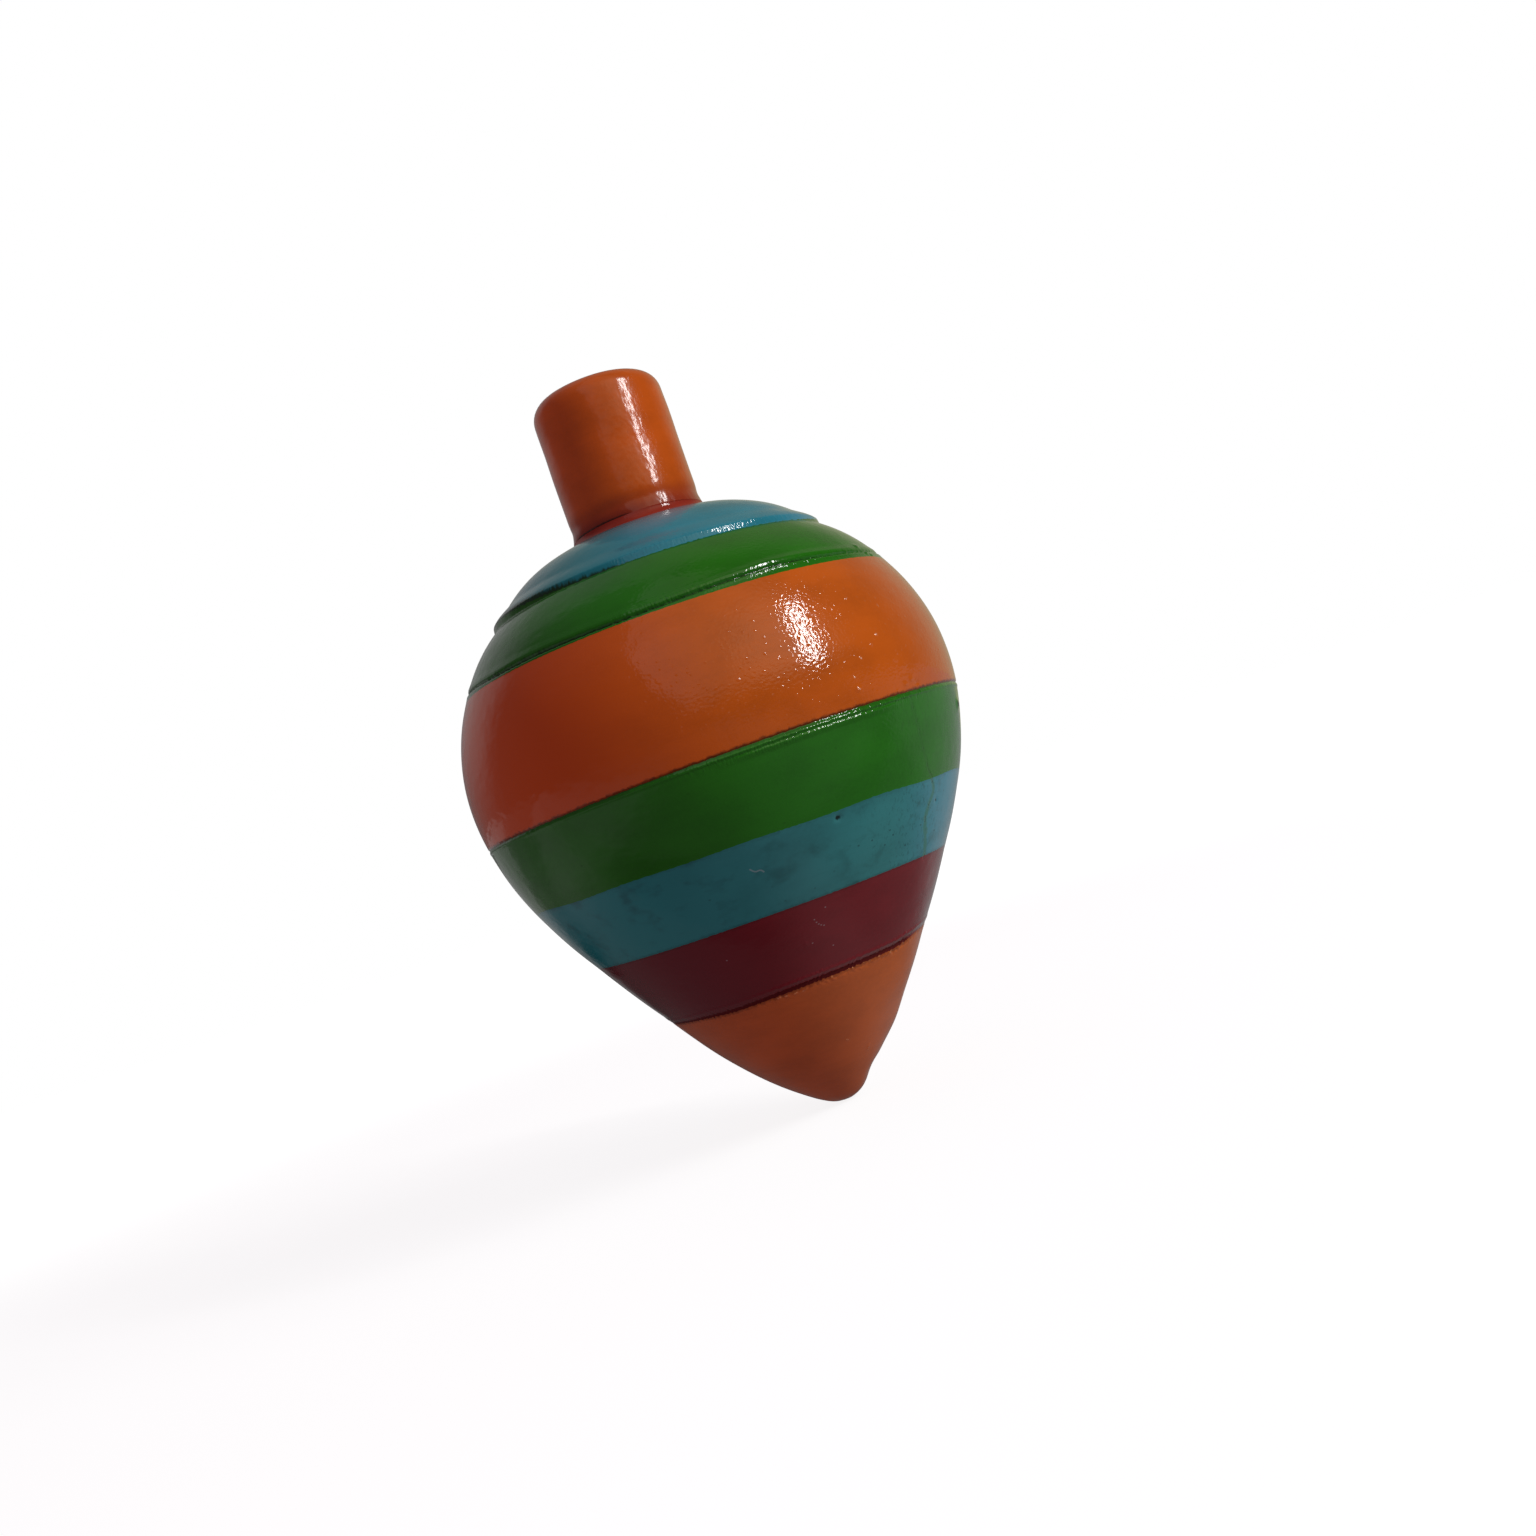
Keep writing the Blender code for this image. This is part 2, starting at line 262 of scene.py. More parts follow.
def make_stem_outline():
    """The outline of the stem from the axis at its end down to its foot."""
    flat = np.linspace(0, STEM_RADIUS - STEM_EDGE_RADIUS, STEM_TOP_POINTS)
    dome = STEM_TOP - STEM_DOME * (flat / flat[-1]) ** 2
    top = np.stack([flat, dome], axis=1)
    centre = (STEM_RADIUS - STEM_EDGE_RADIUS, STEM_TOP - STEM_DOME - STEM_EDGE_RADIUS)
    edge = round_arc(centre, STEM_EDGE_RADIUS, 0.0, math.pi / 2)
    heights = np.linspace(edge[-1, 1], STEM_FOOT, STEM_SIDE_POINTS)
    side = np.stack([np.full(STEM_SIDE_POINTS, STEM_RADIUS), heights], axis=1)
    return Outline(np.concatenate([top, edge, side]), STEM_BLUR)


BODY, BORDERS = make_body_outline()
STEM = make_stem_outline()

# How far the tip's upper border sags in front: angles in degrees and lengths
SAG_ANGLES = (-60.0, -47.0, -28.0, 8.0, 29.0, 46.0, 56.0, 64.0, 75.0)
SAG_LENGTHS = (0.0, 0.10, 0.36, 0.45, 0.60, 0.70, 0.48, 0.12, 0.0)
TIP_SAG = np.interp(DEGREES, SAG_ANGLES, SAG_LENGTHS)

# How much farther the maroon band's ridge stands from that border in front
RIDGE_STRIP = 0.28 * sector(-60, -28, 50, 66)


def border_lines():
    """Where each border, applied by hand, lies along the outline at each angle."""
    sine = np.sin(ANGLES)
    cosine = np.cos(ANGLES)
    ragged = waves(3, 40, (60, 260), 0.0)
    slow = waves(4, 8, (3, 11), 0.0)
    lift = {
        "shoulder": -0.05 + 0.6 * smoothstep(30, 80, away_from(15)) + 0.03 * ragged(ANGLES, 0.0),
        "belly": 0.222 * (1 - cosine) + 0.012 * ragged(ANGLES + 1, 0.0),
        "waist": 0.02 + 0.36 * sine + 0.016 * ragged(ANGLES + 2, 0.0),
        "blue": -0.05 - 0.05 * sine + 0.04 * slow(ANGLES, 0.0) + 0.014 * ragged(ANGLES + 3, 0.0),
        "maroon": -0.04 + 0.15 * sine + 0.012 * ragged(ANGLES + 4, 0.0),
        "tip": 0.07 + 0.7 * sine + 0.04 * ragged(ANGLES + 5, 0.0) - TIP_SAG,
    }
    lines = {"crown": np.zeros(SEGMENTS), "pole": np.full(SEGMENTS, BORDERS["pole"])}
    for name, amount in lift.items():
        lines[name] = BORDERS[name] - amount
    return lines


LINES = border_lines()
GROOVE_LINE = LINES["belly"] - np.interp(DEGREES, GROOVE_ANGLES, GROOVE_HEIGHTS)

BODY_RIPPLE = waves(11, 14, (2, 12), 0.16)
STEM_RIPPLE = waves(12, 14, (1, 5), 0.22)
RAGGED = waves(13, 48, (30, 190), 1.2)
CRUMBS = waves(15, 70, (10, 150), 2.2)
FOOT_RIPPLE = waves(21, 20, (6, 60), 0.0)

# Small marks in the lac: angle in degrees, height, radius and lift, and how dark the lac is there
MARKS = (
    (73.5, 33.2, 0.75, 0.20, 1.0),
    (21.5, 26.7, 0.46, -0.15, 1.0),
    (56.9, 25.2, 0.34, -0.08, 1.0),
    (32.7, 36.7, 0.28, 0.13, 0.0),
    (46.3, 36.0, 0.28, 0.09, 0.1),
    (48.6, 36.3, 0.30, 0.10, 0.1),
    (50.6, 35.9, 0.30, -0.09, 0.2),
    (47.4, 37.7, 0.30, 0.07, 0.0),
    (45.0, 38.4, 0.28, 0.06, 0.0),
    (60.5, 50.2, 0.40, 0.12, 0.8),
    (62.2, 49.4, 0.36, 0.12, 0.8),
    (64.5, 49.1, 0.30, 0.10, 0.7),
    (6.4, 16.9, 0.22, 0.05, 0.0),
    (40.2, 4.9, 0.30, 0.05, 0.0),
    (78.0, 6.0, 3.2, 0.18, 0.0),
    (78.0, 2.3, 1.6, -0.22, 0.0),
    (-140.0, 42.0, 0.35, 0.05, 0.0),
    (128.0, 39.5, 0.28, -0.06, 0.6),
    (-165.0, 24.0, 0.32, -0.08, 0.9),
    (150.0, 31.0, 0.40, 0.08, 0.3),
    (-110.0, 52.0, 0.30, 0.06, 0.4),
)

# A check in the wood that shows through blue band and waist: rising heights, and angles in degrees
CRACK_HEIGHTS = (20.5, 21.0, 24.0, 25.2, 26.2, 27.4, 28.2, 31.0, 34.0, 35.0)
CRACK_ANGLES = (54.6, 54.6, 51.6, 53.2, 55.0, 53.2, 51.5, 48.8, 47.2, 46.8)

# Shares from 0 to 1 round the axis
LIP_SHARE = 0.68 + 0.32 * smoothstep(30, 85, away_from(20))
FRONT_SHARE = smoothstep(42, 18, away_from(22))
GLINT_SHARE = smoothstep(24, 12, np.abs(DEGREES - 22))
TORN_SHARE = smoothstep(62, 22, away_from(24))
CREVICE_SHARE = sector(-85, -60, -15, 15)
CALM_SHARE = sector(-120, -80, -30, -6)
PEEL_SHARE = (1 - 0.8 * CALM_SHARE) * (1 - 0.45 * smoothstep(12, 36, away_from(22)))
CROWD_SHARE = hump(DEGREES, 46, 16)
# Where the lac's colour is painted lighter or darker as painted shading, on the right and on the left side
PAINTED_RIGHT_SHARE = sector(28, 74, 120, 175)
PAINTED_LEFT_SHARE = sector(-175, -120, -40, 10)
FEATHER_SHARE = sector(-175, -120, -20, 18)
# Where the painted shade above the shoulder's groove reaches, on the left
GROOVE_LEFT_SHARE = sector(-150, -110, -40, 0)
# Where the painted shade along the tip's border is left out
BARE_SHARE = sector(52, 64, 90, 110)


def lip_lift(place):
    """The crown's lip, nearly filled with lac in front and free at the sides and behind."""
    past = place - BORDERS["shoulder"] + LIP_RISE + LIP_FALL
    rising = LIP_HEIGHT * smoothstep(0.0, LIP_RISE, past)
    falling = LIP_HEIGHT * (LIP_RISE + LIP_FALL - past) / LIP_FALL
    return np.clip(np.minimum(rising, falling), 0.0, None) * LIP_SHARE


def groove_lift(place, shine):
    """The shoulder's groove, shallower on the right, between facets and a rounded edge."""
    above = GROOVE_LINE - place
    depth = GROOVE_DEPTH - GROOVE_WORN * smoothstep(45, 75, DEGREES)
    cut = depth * hump(above, 0.0, GROOVE_HALF_WIDTH) * (1 + GROOVE_RAGGED * RAGGED(ANGLES, place))
    return shine * (facets(above, *GROOVE_FACETS) + GROOVE_ROUND * hump(above, -0.30, 0.16)) - cut


def waist_lift(place, shine):
    """The worn rings at the top of the waist, and the seam above them."""
    below = place - LINES["waist"]
    rings = shine * facets(below, *WAIST_FACETS) + GLINT_SHARE * facets(below, *GLINT_FACETS)
    return rings - WAIST_SEAM * hump(below, 0.0, 0.11)


def ridge_lift(place):
    """The ridge of the maroon band, the crevice under it and the crumbs at the tip's torn edge."""
    above = LINES["tip"] - place
    calm = 0.4 + 0.6 * TORN_SHARE
    offset = np.clip((above - RIDGE_ABOVE_TIP - RIDGE_STRIP) / RIDGE_WIDTH, -0.5, 0.5)
    ring = RIDGE_HEIGHT * np.cos(math.pi * offset) ** 2
    depth = 0.07 + 0.35 * RIDGE_STRIP
    crevice = depth * hump(above, 0.08 + 0.6 * RIDGE_STRIP, 0.2 + 0.2 * RIDGE_STRIP)
    crumbling = smoothstep(0.02, 0.15, -above) * smoothstep(0.75, 0.25, -above) * (0.15 + 0.85 * TORN_SHARE)
    return calm * (ring - crevice) + CRUMB_HEIGHT * crumbling * CRUMBS(ANGLES, place)


def near_mark(degrees, height, size, place, radius):
    """1 at a mark's middle, falling smoothly to 0 round it."""
    away = around(degrees) * radius
    along = place - BODY.place_of(height)
    return np.exp(-(away ** 2 + along ** 2) / size ** 2)


def body_lift(place, radius):
    """How far the lac stands out from the outline: ripples, rings, worn borders and marks."""
    shine = 0.4 + 0.6 * FRONT_SHARE
    lift = RIPPLE_HEIGHT * BODY_RIPPLE(ANGLES, place) + lip_lift(place)
    lift = lift + groove_lift(place, shine) + waist_lift(place, shine) + ridge_lift(place)
    for degrees, height, size, raised, _ in MARKS:
        lift = lift + raised * near_mark(degrees, height, math.sqrt(0.5) * size, place, radius)
    return lift


def stain_and_shade_of(place, radius):
    """How dark the lac is: stains at its marks, painted shade in the groove and along the tip's border
    under the maroon ridge, and darker strokes at the crown's lower edge on the left.
    """
    above_groove = GROOVE_LINE - place
    above_tip = LINES["tip"] - place
    above_shoulder = LINES["shoulder"] - place
    feather = 0.25 + 0.9 * smoothstep(0, -60, DEGREES)
    stains = [
        # Painted shade in the shoulder's groove, and above it on the left
        0.7 * (1 - 0.6 * smoothstep(30, 75, DEGREES)) * hump(above_groove, 0.0, 0.14),
        0.5 * GROOVE_LEFT_SHARE * hump(above_groove, 0.15, 0.30),
        # Painted shade along the tip's border, under the maroon band's ridge
        0.9 * (1 - BARE_SHARE) * hump(above_tip, 0.0, 0.38 + 0.8 * RIDGE_STRIP) * (above_tip > 0),
        # Darker torn strokes at the crown's lower edge on the left
        0.9 * FEATHER_SHARE * np.exp(-np.maximum(above_shoulder, 0.0) / feather) * (above_shoulder > 0),
    ]
    # Stains at the marks
    for degrees, height, size, _, dark in MARKS:
        stains.append(dark * near_mark(degrees, height, math.sqrt(0.4) * size, place, radius))
    return np.max(stains, axis=0)


def crack_distance(height, radius):
    """Distance round the axis from the check in the wood."""
    degrees = np.interp(height, CRACK_HEIGHTS, CRACK_ANGLES)
    past = np.maximum(CRACK_HEIGHTS[0] - height, 0.0) + np.maximum(height - CRACK_HEIGHTS[-1], 0.0)
    return np.abs(around(degrees)) * radius + past


def row_places(length, features):
    """Shares of a length for its rows, close together at the ends and at the features."""
    places = [0.0, 0.02, 0.06]
    while places[-1] < length - 0.1:
        here = places[-1]
        nearest = min([abs(here - feature) for feature in features] + [here, length - here])
        places.append(here + min(ROW_STEP, FINE_ROW_STEP + 0.12 * max(0.0, nearest - 0.5)))
    while places[-1] > length - 0.08:
        places.pop()
    return np.array(places + [length - 0.06, length - 0.02, length]) / length


def turned_points(radius, third, shift=0.0):
    """Points of a turned surface in millimetres, with a third value for each."""
    points = np.stack([radius * np.sin(ANGLES) + shift, -radius * np.cos(ANGLES), third], axis=-1)
    return points.reshape(-1, 3)


def grid_faces(rows, wrap):
    """Quads between rows of points, and from the last row to the first if it wraps."""
    lines = rows if wrap else rows - 1
    row, column = np.meshgrid(np.arange(lines), np.arange(SEGMENTS), indexing="ij")
    following = (row + 1) % rows
    beside = (column + 1) % SEGMENTS
    corners = (row * SEGMENTS + column, following * SEGMENTS + column)
    corners += (following * SEGMENTS + beside, row * SEGMENTS + beside)
    return np.stack(corners, axis=-1).reshape(-1, 4)


def fan_faces(pole, row, last):
    """Triangles between a pole and a row of points, turned over where the row comes last."""
    column = np.arange(SEGMENTS)
    beside = (column + 1) % SEGMENTS
    first = row * SEGMENTS + column
    second = row * SEGMENTS + beside
    if last:
        first, second = second, first
    return np.stack([np.full(SEGMENTS, pole), first, second], axis=-1)


def coat_rows(outline, first, last, place, lift, inner_rows):
    """Radius, height and place of a coat's rows: along its lifted outer face, and back inside."""
    radius, height, out_radius, out_height = outline.at(place)
    inner_place = first + np.linspace(0, 1, inner_rows)[:, None] * (last - first)
    inside = outline.at(inner_place)
    inner_radius = np.maximum(inside[0] - inside[2] * LAC_THICKNESS, LEAST_RADIUS)
    inner_height = inside[1] - inside[3] * LAC_THICKNESS
    all_radius = np.concatenate([radius + out_radius * lift, inner_radius[::-1]])
    all_height = np.concatenate([height + out_height * lift, inner_height[::-1]])
    return all_radius, all_height, np.concatenate([place, inner_place[::-1]])


def spread(values, inner_rows, ends=()):
    """A field's values on the outer rows, held on the inner rows, then those of the poles."""
    return np.concatenate([values.ravel(), np.tile(values[-1], inner_rows), ends])


def linked(name, data):
    """A new object in the scene."""
    made = bpy.data.objects.new(name, data)
    bpy.context.scene.collection.objects.link(made)
    return made


def new_piece(name, points, quads, triangles, rims, fields, material, node):
    """A closed piece, smooth apart from its rims, with its fields and its place in the frame."""
    mesh = bpy.data.meshes.new(name)
    corners = np.concatenate([quads.ravel(), triangles.ravel()])
    starts = np.concatenate([np.arange(len(quads)) * 4, len(quads) * 4 + np.arange(len(triangles)) * 3])
    mesh.vertices.add(len(points))
    mesh.vertices.foreach_set("co", (points * MM).astype(np.float32).ravel())
    mesh.loops.add(len(corners))
    mesh.loops.foreach_set("vertex_index", corners.astype(np.int32))
    mesh.polygons.add(len(starts))
    mesh.polygons.foreach_set("loop_start", starts.astype(np.int32))
    mesh.update(calc_edges=True)
    mesh.validate()
    mesh.shade_smooth()
    ends = np.empty(len(mesh.edges) * 2, dtype=np.int32)
    mesh.edges.foreach_get("vertices", ends)
    row = ends.reshape(-1, 2) // SEGMENTS
    sharp = (row[:, 0] == row[:, 1]) & np.isin(row[:, 0], rims)
    mesh.attributes.new("sharp_edge", "BOOLEAN", "EDGE").data.foreach_set("value", sharp)
    for field, value in fields.items():
        values = np.full(len(points), value) if np.isscalar(value) else value
        vector = values.ndim == 2
        layer = mesh.attributes.new(field, "FLOAT_VECTOR" if vector else "FLOAT", "POINT")
        layer.data.foreach_set("vector" if vector else "value", values.astype(np.float32).ravel())
    mesh.materials.append(material)
    piece = linked(name, mesh)
    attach(piece, "root")
    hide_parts(node)
    return piece


def body_coat(name, upper, lower, features, hatched, material, node):
    """A closed coat on the body. Places count from its upper border, or the lower one if negative."""
    pole = lower == "pole"
    first = LINES[upper] + BORDER_GAP / 2
    last = LINES[lower] - BORDER_GAP / 2
    if pole:
        last = np.full(SEGMENTS, BORDERS["pole"] - POLE_GAP)
    length = float(np.mean(last - first))
    share = row_places(length, [feature % length for feature in features])
    place = first + share[:, None] * (last - first)
    radius, height = BODY.at(place)[:2]
    lift = body_lift(place, radius)
    all_radius, all_height, all_place = coat_rows(BODY, first, last, place, lift, INNER_ROWS)
    shift = NOSE_SHIFT * np.clip(1 - all_height / NOSE_SHIFT_HEIGHT, 0.0, 1.0) ** 2
    points = turned_points(all_radius, all_height, shift)
    turned = turned_points(all_radius, all_place)
    rows = len(all_radius)
    outer_last = len(place) - 1
    quads = grid_faces(rows, True)
    triangles = NO_FACES
    rims = [0, outer_last, outer_last + 1, rows - 1]
    spare = 0
    if pole:
        quads = quads[quads[:, 0] // SEGMENTS != outer_last]
        triangles = np.concatenate([
            fan_faces(rows * SEGMENTS, outer_last, True),
            fan_faces(rows * SEGMENTS + 1, outer_last + 1, False),
        ])
        ends = [(NOSE_SHIFT, 0.0, all_height[row].mean()) for row in (outer_last, outer_last + 1)]
        points = np.concatenate([points, ends])
        rims = [0, rows - 1]
        spare = 2
        turned = np.concatenate([turned, np.tile([0.0, 0.0, BORDERS["pole"]], (spare, 1))])
    below = place - first
    above = np.full(place.shape, NO_BORDER) if pole else last - place
    hatch = np.zeros(place.shape)
    for centre, width in hatched:
        offset = below - centre if centre >= 0 else above + centre
        hatch = np.maximum(hatch, hump(offset, 0.0, width))
    values = {
        "upper_rim": (np.minimum(below, FAR), FAR),
        "lower_rim": (np.minimum(above, FAR), FAR),
        "hatch": (hatch * (0.1 + 0.9 * FRONT_SHARE), 0.0),
        "stain": (stain_and_shade_of(place, radius), 0.0),
        "crack": (np.minimum(crack_distance(height, radius), FAR), FAR),
        "peel": (PEEL_SHARE, 0.5),
        "crowd": (CROWD_SHARE, 0.0),
        # Shares of painted shading on the lac's right side, and on its left side
        "painted_right_share": (PAINTED_RIGHT_SHARE, 0.0),
        "left": (PAINTED_LEFT_SHARE, 0.0),
    }
    fields = {"turned": turned}
    for field, (value, end) in values.items():
        fields[field] = spread(np.broadcast_to(value, place.shape), INNER_ROWS, np.full(spare, end))
    return new_piece(name, points, quads, triangles, rims, fields, material, node)


def stem_coat(material):
    """The lac on the stem, as a closed sleeve with a domed end."""
    foot = STEM.length - 0.006 - 0.05 * CREVICE_SHARE + 0.005 * FOOT_RIPPLE(ANGLES, 0.0)
    first = np.full(SEGMENTS, POLE_GAP)
    share = row_places(float(np.mean(foot - first)), [])
    place = first + share[:, None] * (foot - first)
    above = foot - place
    lift = 0.016 * STEM_RIPPLE(ANGLES, place) * smoothstep(0.0, 4.0, place)
    lift = lift - 0.06 * CREVICE_SHARE * np.exp(-above / 0.25) - 0.09 * hump(above, 1.15, 0.6)
    lift = lift + 0.16 * (1 - CREVICE_SHARE) * np.exp(-above / 0.5)
    lift = lift - 0.05 * hump(place, 1.4, 0.25) - 0.03 * hump(place, 2.9, 0.2)
    all_radius, all_height, all_place = coat_rows(STEM, first, foot, place, lift, STEM_INNER_ROWS)
    rows = len(all_radius)
    ends = [(0.0, 0.0, all_height[row].mean()) for row in (0, rows - 1)]
    points = np.concatenate([turned_points(all_radius, all_height), ends])
    triangles = np.concatenate([
        fan_faces(rows * SEGMENTS, 0, False),
        fan_faces(rows * SEGMENTS + 1, rows - 1, True),
    ])
    fields = {
        "turned": np.concatenate([turned_points(all_radius, all_place), np.zeros((2, 3))]),
        "upper_rim": FAR,
        "lower_rim": spread(np.minimum(above, FAR), STEM_INNER_ROWS, (FAR, FAR)),
        "hatch": 0.6,
        # Painted shade in the crevice at the stem's foot
        "stain": spread(0.7 * CREVICE_SHARE * hump(above, 0.0, 0.24), STEM_INNER_ROWS, (0.0, 0.0)),
        "crack": FAR,
        "peel": spread(np.broadcast_to(PEEL_SHARE, place.shape), STEM_INNER_ROWS, (0.5, 0.5)),
    }
    rims = [len(place) - 1, len(place)]
    quads = grid_faces(rows, False)
    return new_piece(
        "stem_lac_coat", points, quads, triangles, rims, fields, material, "stem_lac",
    )


def collar_coat(material):
    """The flared ring of red lac round the stem's foot, as a closed ring."""
    end = (CROWN_EDGE[0] - 0.01, CROWN_EDGE[1] + 0.01)
    outer = Outline(arc((STEM_RADIUS, STEM_FOOT), end, -COLLAR_HOLLOW), COLLAR_BLUR)
    place = np.linspace(0, outer.length, COLLAR_ROWS)[:, None] * np.ones(SEGMENTS)
    radius, height, out_radius, out_height = outer.at(place)
    above = outer.length - place
    lift = 0.02 * STEM_RIPPLE(ANGLES, place) * np.minimum(place, 1.0)
    lift = lift + 0.16 * (1 - CREVICE_SHARE) * np.exp(-place / 0.4) * smoothstep(0.0, 0.5, above)
    foot = CROWN_EDGE[1] - LAC_THICKNESS
    bore = STEM_RADIUS - LAC_THICKNESS
    inner = np.array([
        (end[0] - 0.02, foot),
        ((end[0] + bore) / 2, foot),
        (bore, foot),
        (bore, (foot + STEM_FOOT) / 2),
        (bore, STEM_FOOT - 0.02),
    ])
    all_radius = np.concatenate([radius + out_radius * lift, inner[:, :1] * np.ones(SEGMENTS)])
    all_height = np.concatenate([height + out_height * lift, inner[:, 1:] * np.ones(SEGMENTS)])
    points = turned_points(all_radius, all_height)
    fields = {
        "turned": points,
        "upper_rim": spread(place, len(inner)),
        "lower_rim": spread(above, len(inner)),
        "hatch": 0.3,
        "stain": 0.0,
        "crack": FAR,
        "peel": 0.5,
    }
    quads = grid_faces(len(all_radius), True)
    rims = [0, len(place) - 1, len(place), len(all_radius) - 1]
    return new_piece(
        "stem_collar_coat", points, quads, NO_FACES, rims, fields, material, "stem_collar_lac",
    )


def operation(kind):
    """A method that joins a value with another by a kind of sum."""

    def joined(self, other):
        return self.nodes.sums(kind, self, other)

    return joined


class Value:
    """A value in a tree of shader nodes, which takes part in plain sums."""

    __add__ = operation("ADD")
    __sub__ = operation("SUBTRACT")
    __mul__ = operation("MULTIPLY")
    __truediv__ = operation("DIVIDE")
    most = operation("MAXIMUM")

    def __init__(self, nodes, socket):
        self.nodes = nodes
        self.socket = socket

    def __rsub__(self, other):
        return self.nodes.sums("SUBTRACT", other, self)

    def ramp(self, low, high, start=0.0, end=1.0):
        """A smooth change from start to end while the value goes from low to high."""
        values = {0: self, 1: low, 2: high, 3: start, 4: end}
        node = self.nodes.fed("MapRange", values, interpolation_type="SMOOTHSTEP")
        return Value(self.nodes, node.outputs[0])

    def fall(self, low, high, start=1.0):
        """A smooth fall from start to 0 while the value goes from low to high."""
        return self.ramp(low, high, start, 0.0)


class Nodes:
    """A tree of shader nodes, built node by node."""

    def __init__(self, tree):
        self.tree = tree

    def add(self, kind):
        """A new node of a kind."""
        return self.tree.nodes.new("ShaderNode" + kind)

    def feed(self, socket, value):
        """Links a socket to a value or another socket, or sets it."""
        if isinstance(value, Value):
            value = value.socket
        if isinstance(value, bpy.types.NodeSocket):
            self.tree.links.new(value, socket)
        else:
            socket.default_value = value

    def fed(self, kind, values, **settings):
        """A new node of a kind, with its settings and values for some of its sockets."""
        node = self.add(kind)
        for name, setting in settings.items():
            setattr(node, name, setting)
        for socket, value in values.items():
            self.feed(node.inputs[socket], value)
        return node

    def sums(self, kind, first, second=0.0):
        """A kind of sum of two values, or of one."""
        return Value(self, self.fed("Math", {0: first, 1: second}, operation=kind).outputs[0])

    def parts(self, vector):
        """The three numbers of a vector."""
        return [Value(self, part) for part in self.fed("SeparateXYZ", {0: vector}).outputs]

    def mix(self, share, first, second):
        """A colour between two others."""
        return self.fed("Mix", {0: share, 6: first, 7: second}, data_type="RGBA").outputs[2]

    def blend(self, share, first, second):
        """A shader between two others."""
        return self.fed("MixShader", {0: share, 1: first, 2: second}).outputs[0]

    def glow(self, colour, strength):
        """A shader that gives off light."""
        return self.fed("Emission", {"Color": colour, "Strength": strength}).outputs[0]


class Paint(Nodes):
    """One material with a Principled shader, and the place that its patterns follow."""

    def __init__(self, name):
        self.material = bpy.data.materials.new(name)
        self.material.use_nodes = True
        super().__init__(self.material.node_tree)
        self.shader = self.tree.nodes["Principled BSDF"]
        self.place = None

    def field(self, name, output="Fac"):
        """A field that the mesh carries on its surface."""
        return Value(self, self.fed("Attribute", {}, attribute_name=name).outputs[output])

    def stretch(self, place, sizes):
        """A place, stretched so that a pattern's grain has these lengths."""
        return self.fed("VectorMath", {0: place, 1: sizes}, operation="DIVIDE").outputs[0]

    def noise(self, sizes, detail=2.0, rough=0.5):
        """Cloudy noise from 0 to 1 whose grain has these lengths in millimetres."""
        place = self.stretch(self.place, sizes)
        node = self.fed("TexNoise", {"Vector": place, "Scale": 1.0, "Detail": detail, "Roughness": rough})
        return Value(self, node.outputs[0])

    def cells(self, sizes):
        """Distance from scattered points, and a random value for each point."""
        node = self.fed("TexVoronoi", {"Vector": self.stretch(self.place, sizes), "Scale": 1.0})
        split = self.fed("SeparateColor", {0: node.outputs["Color"]})
        return Value(self, node.outputs["Distance"]), Value(self, split.outputs[0])

    def nearest(self, points):
        """Distance in millimetres from the nearest of a few points."""
        least = 99.0
        for point in points:
            node = self.fed("VectorMath", {0: self.place, 1: point}, operation="DISTANCE")
            least = self.sums("MINIMUM", node.outputs["Value"], least)
        return least

    def bump(self, height):
        """A surface direction from a height in millimetres."""
        return self.fed("Bump", {"Strength": 1.0, "Distance": MM, "Height": height}).outputs[0]

    def finish(self, colour, roughness, height, **others):
        """Sets colour, roughness, bump and other sockets of the shader."""
        values = {"Base Color": colour, "Roughness": roughness, "Normal": self.bump(height), **others}
        for socket, value in values.items():
            self.feed(self.shader.inputs[socket], value)
        return self.material


def opaque(colour):
    """A colour with full alpha."""
    return (*colour, 1.0)


def scaled(colour, amount):
    """A colour made lighter or darker."""
    return opaque([channel * amount for channel in colour])


# What a lac can change: its clear top, its relief, its dirt and marks, its painted shade and painted
# highlights, and its further colours
PLAIN_LAC = dict(
    coat=1.0, rough=0.07, matt=0.0,
    peel=0.02, pebble=(0.32, 0.32, 0.28), dew=0.0, strokes=0.03, bubbles=(),
    # Painted shade along the upper and lower borders, and a painted highlight along the lower edge
    upper_dirt=0.0, lower_dirt=0.0, bright=0.0, torn=1.6, patches=0.0, checked=0.9,
    # Pale spots: dust on some lacs, painted glints on the orange, and pale flecks that are partly painted
    # highlights on the tip
    specks=0.0, dark_spots=(), pale_spots=(), pale=(0.45, 0.5, 0.5), paleness=0.3,
    # Colours of the stains and painted shade, of the crack's seam, of the painted shading on the right and
    # on the left side, and of the stem's foot
    stain=None, seam=None, drift=None, shade=None, foot=None,
)
BASE_SHINE = 0.02


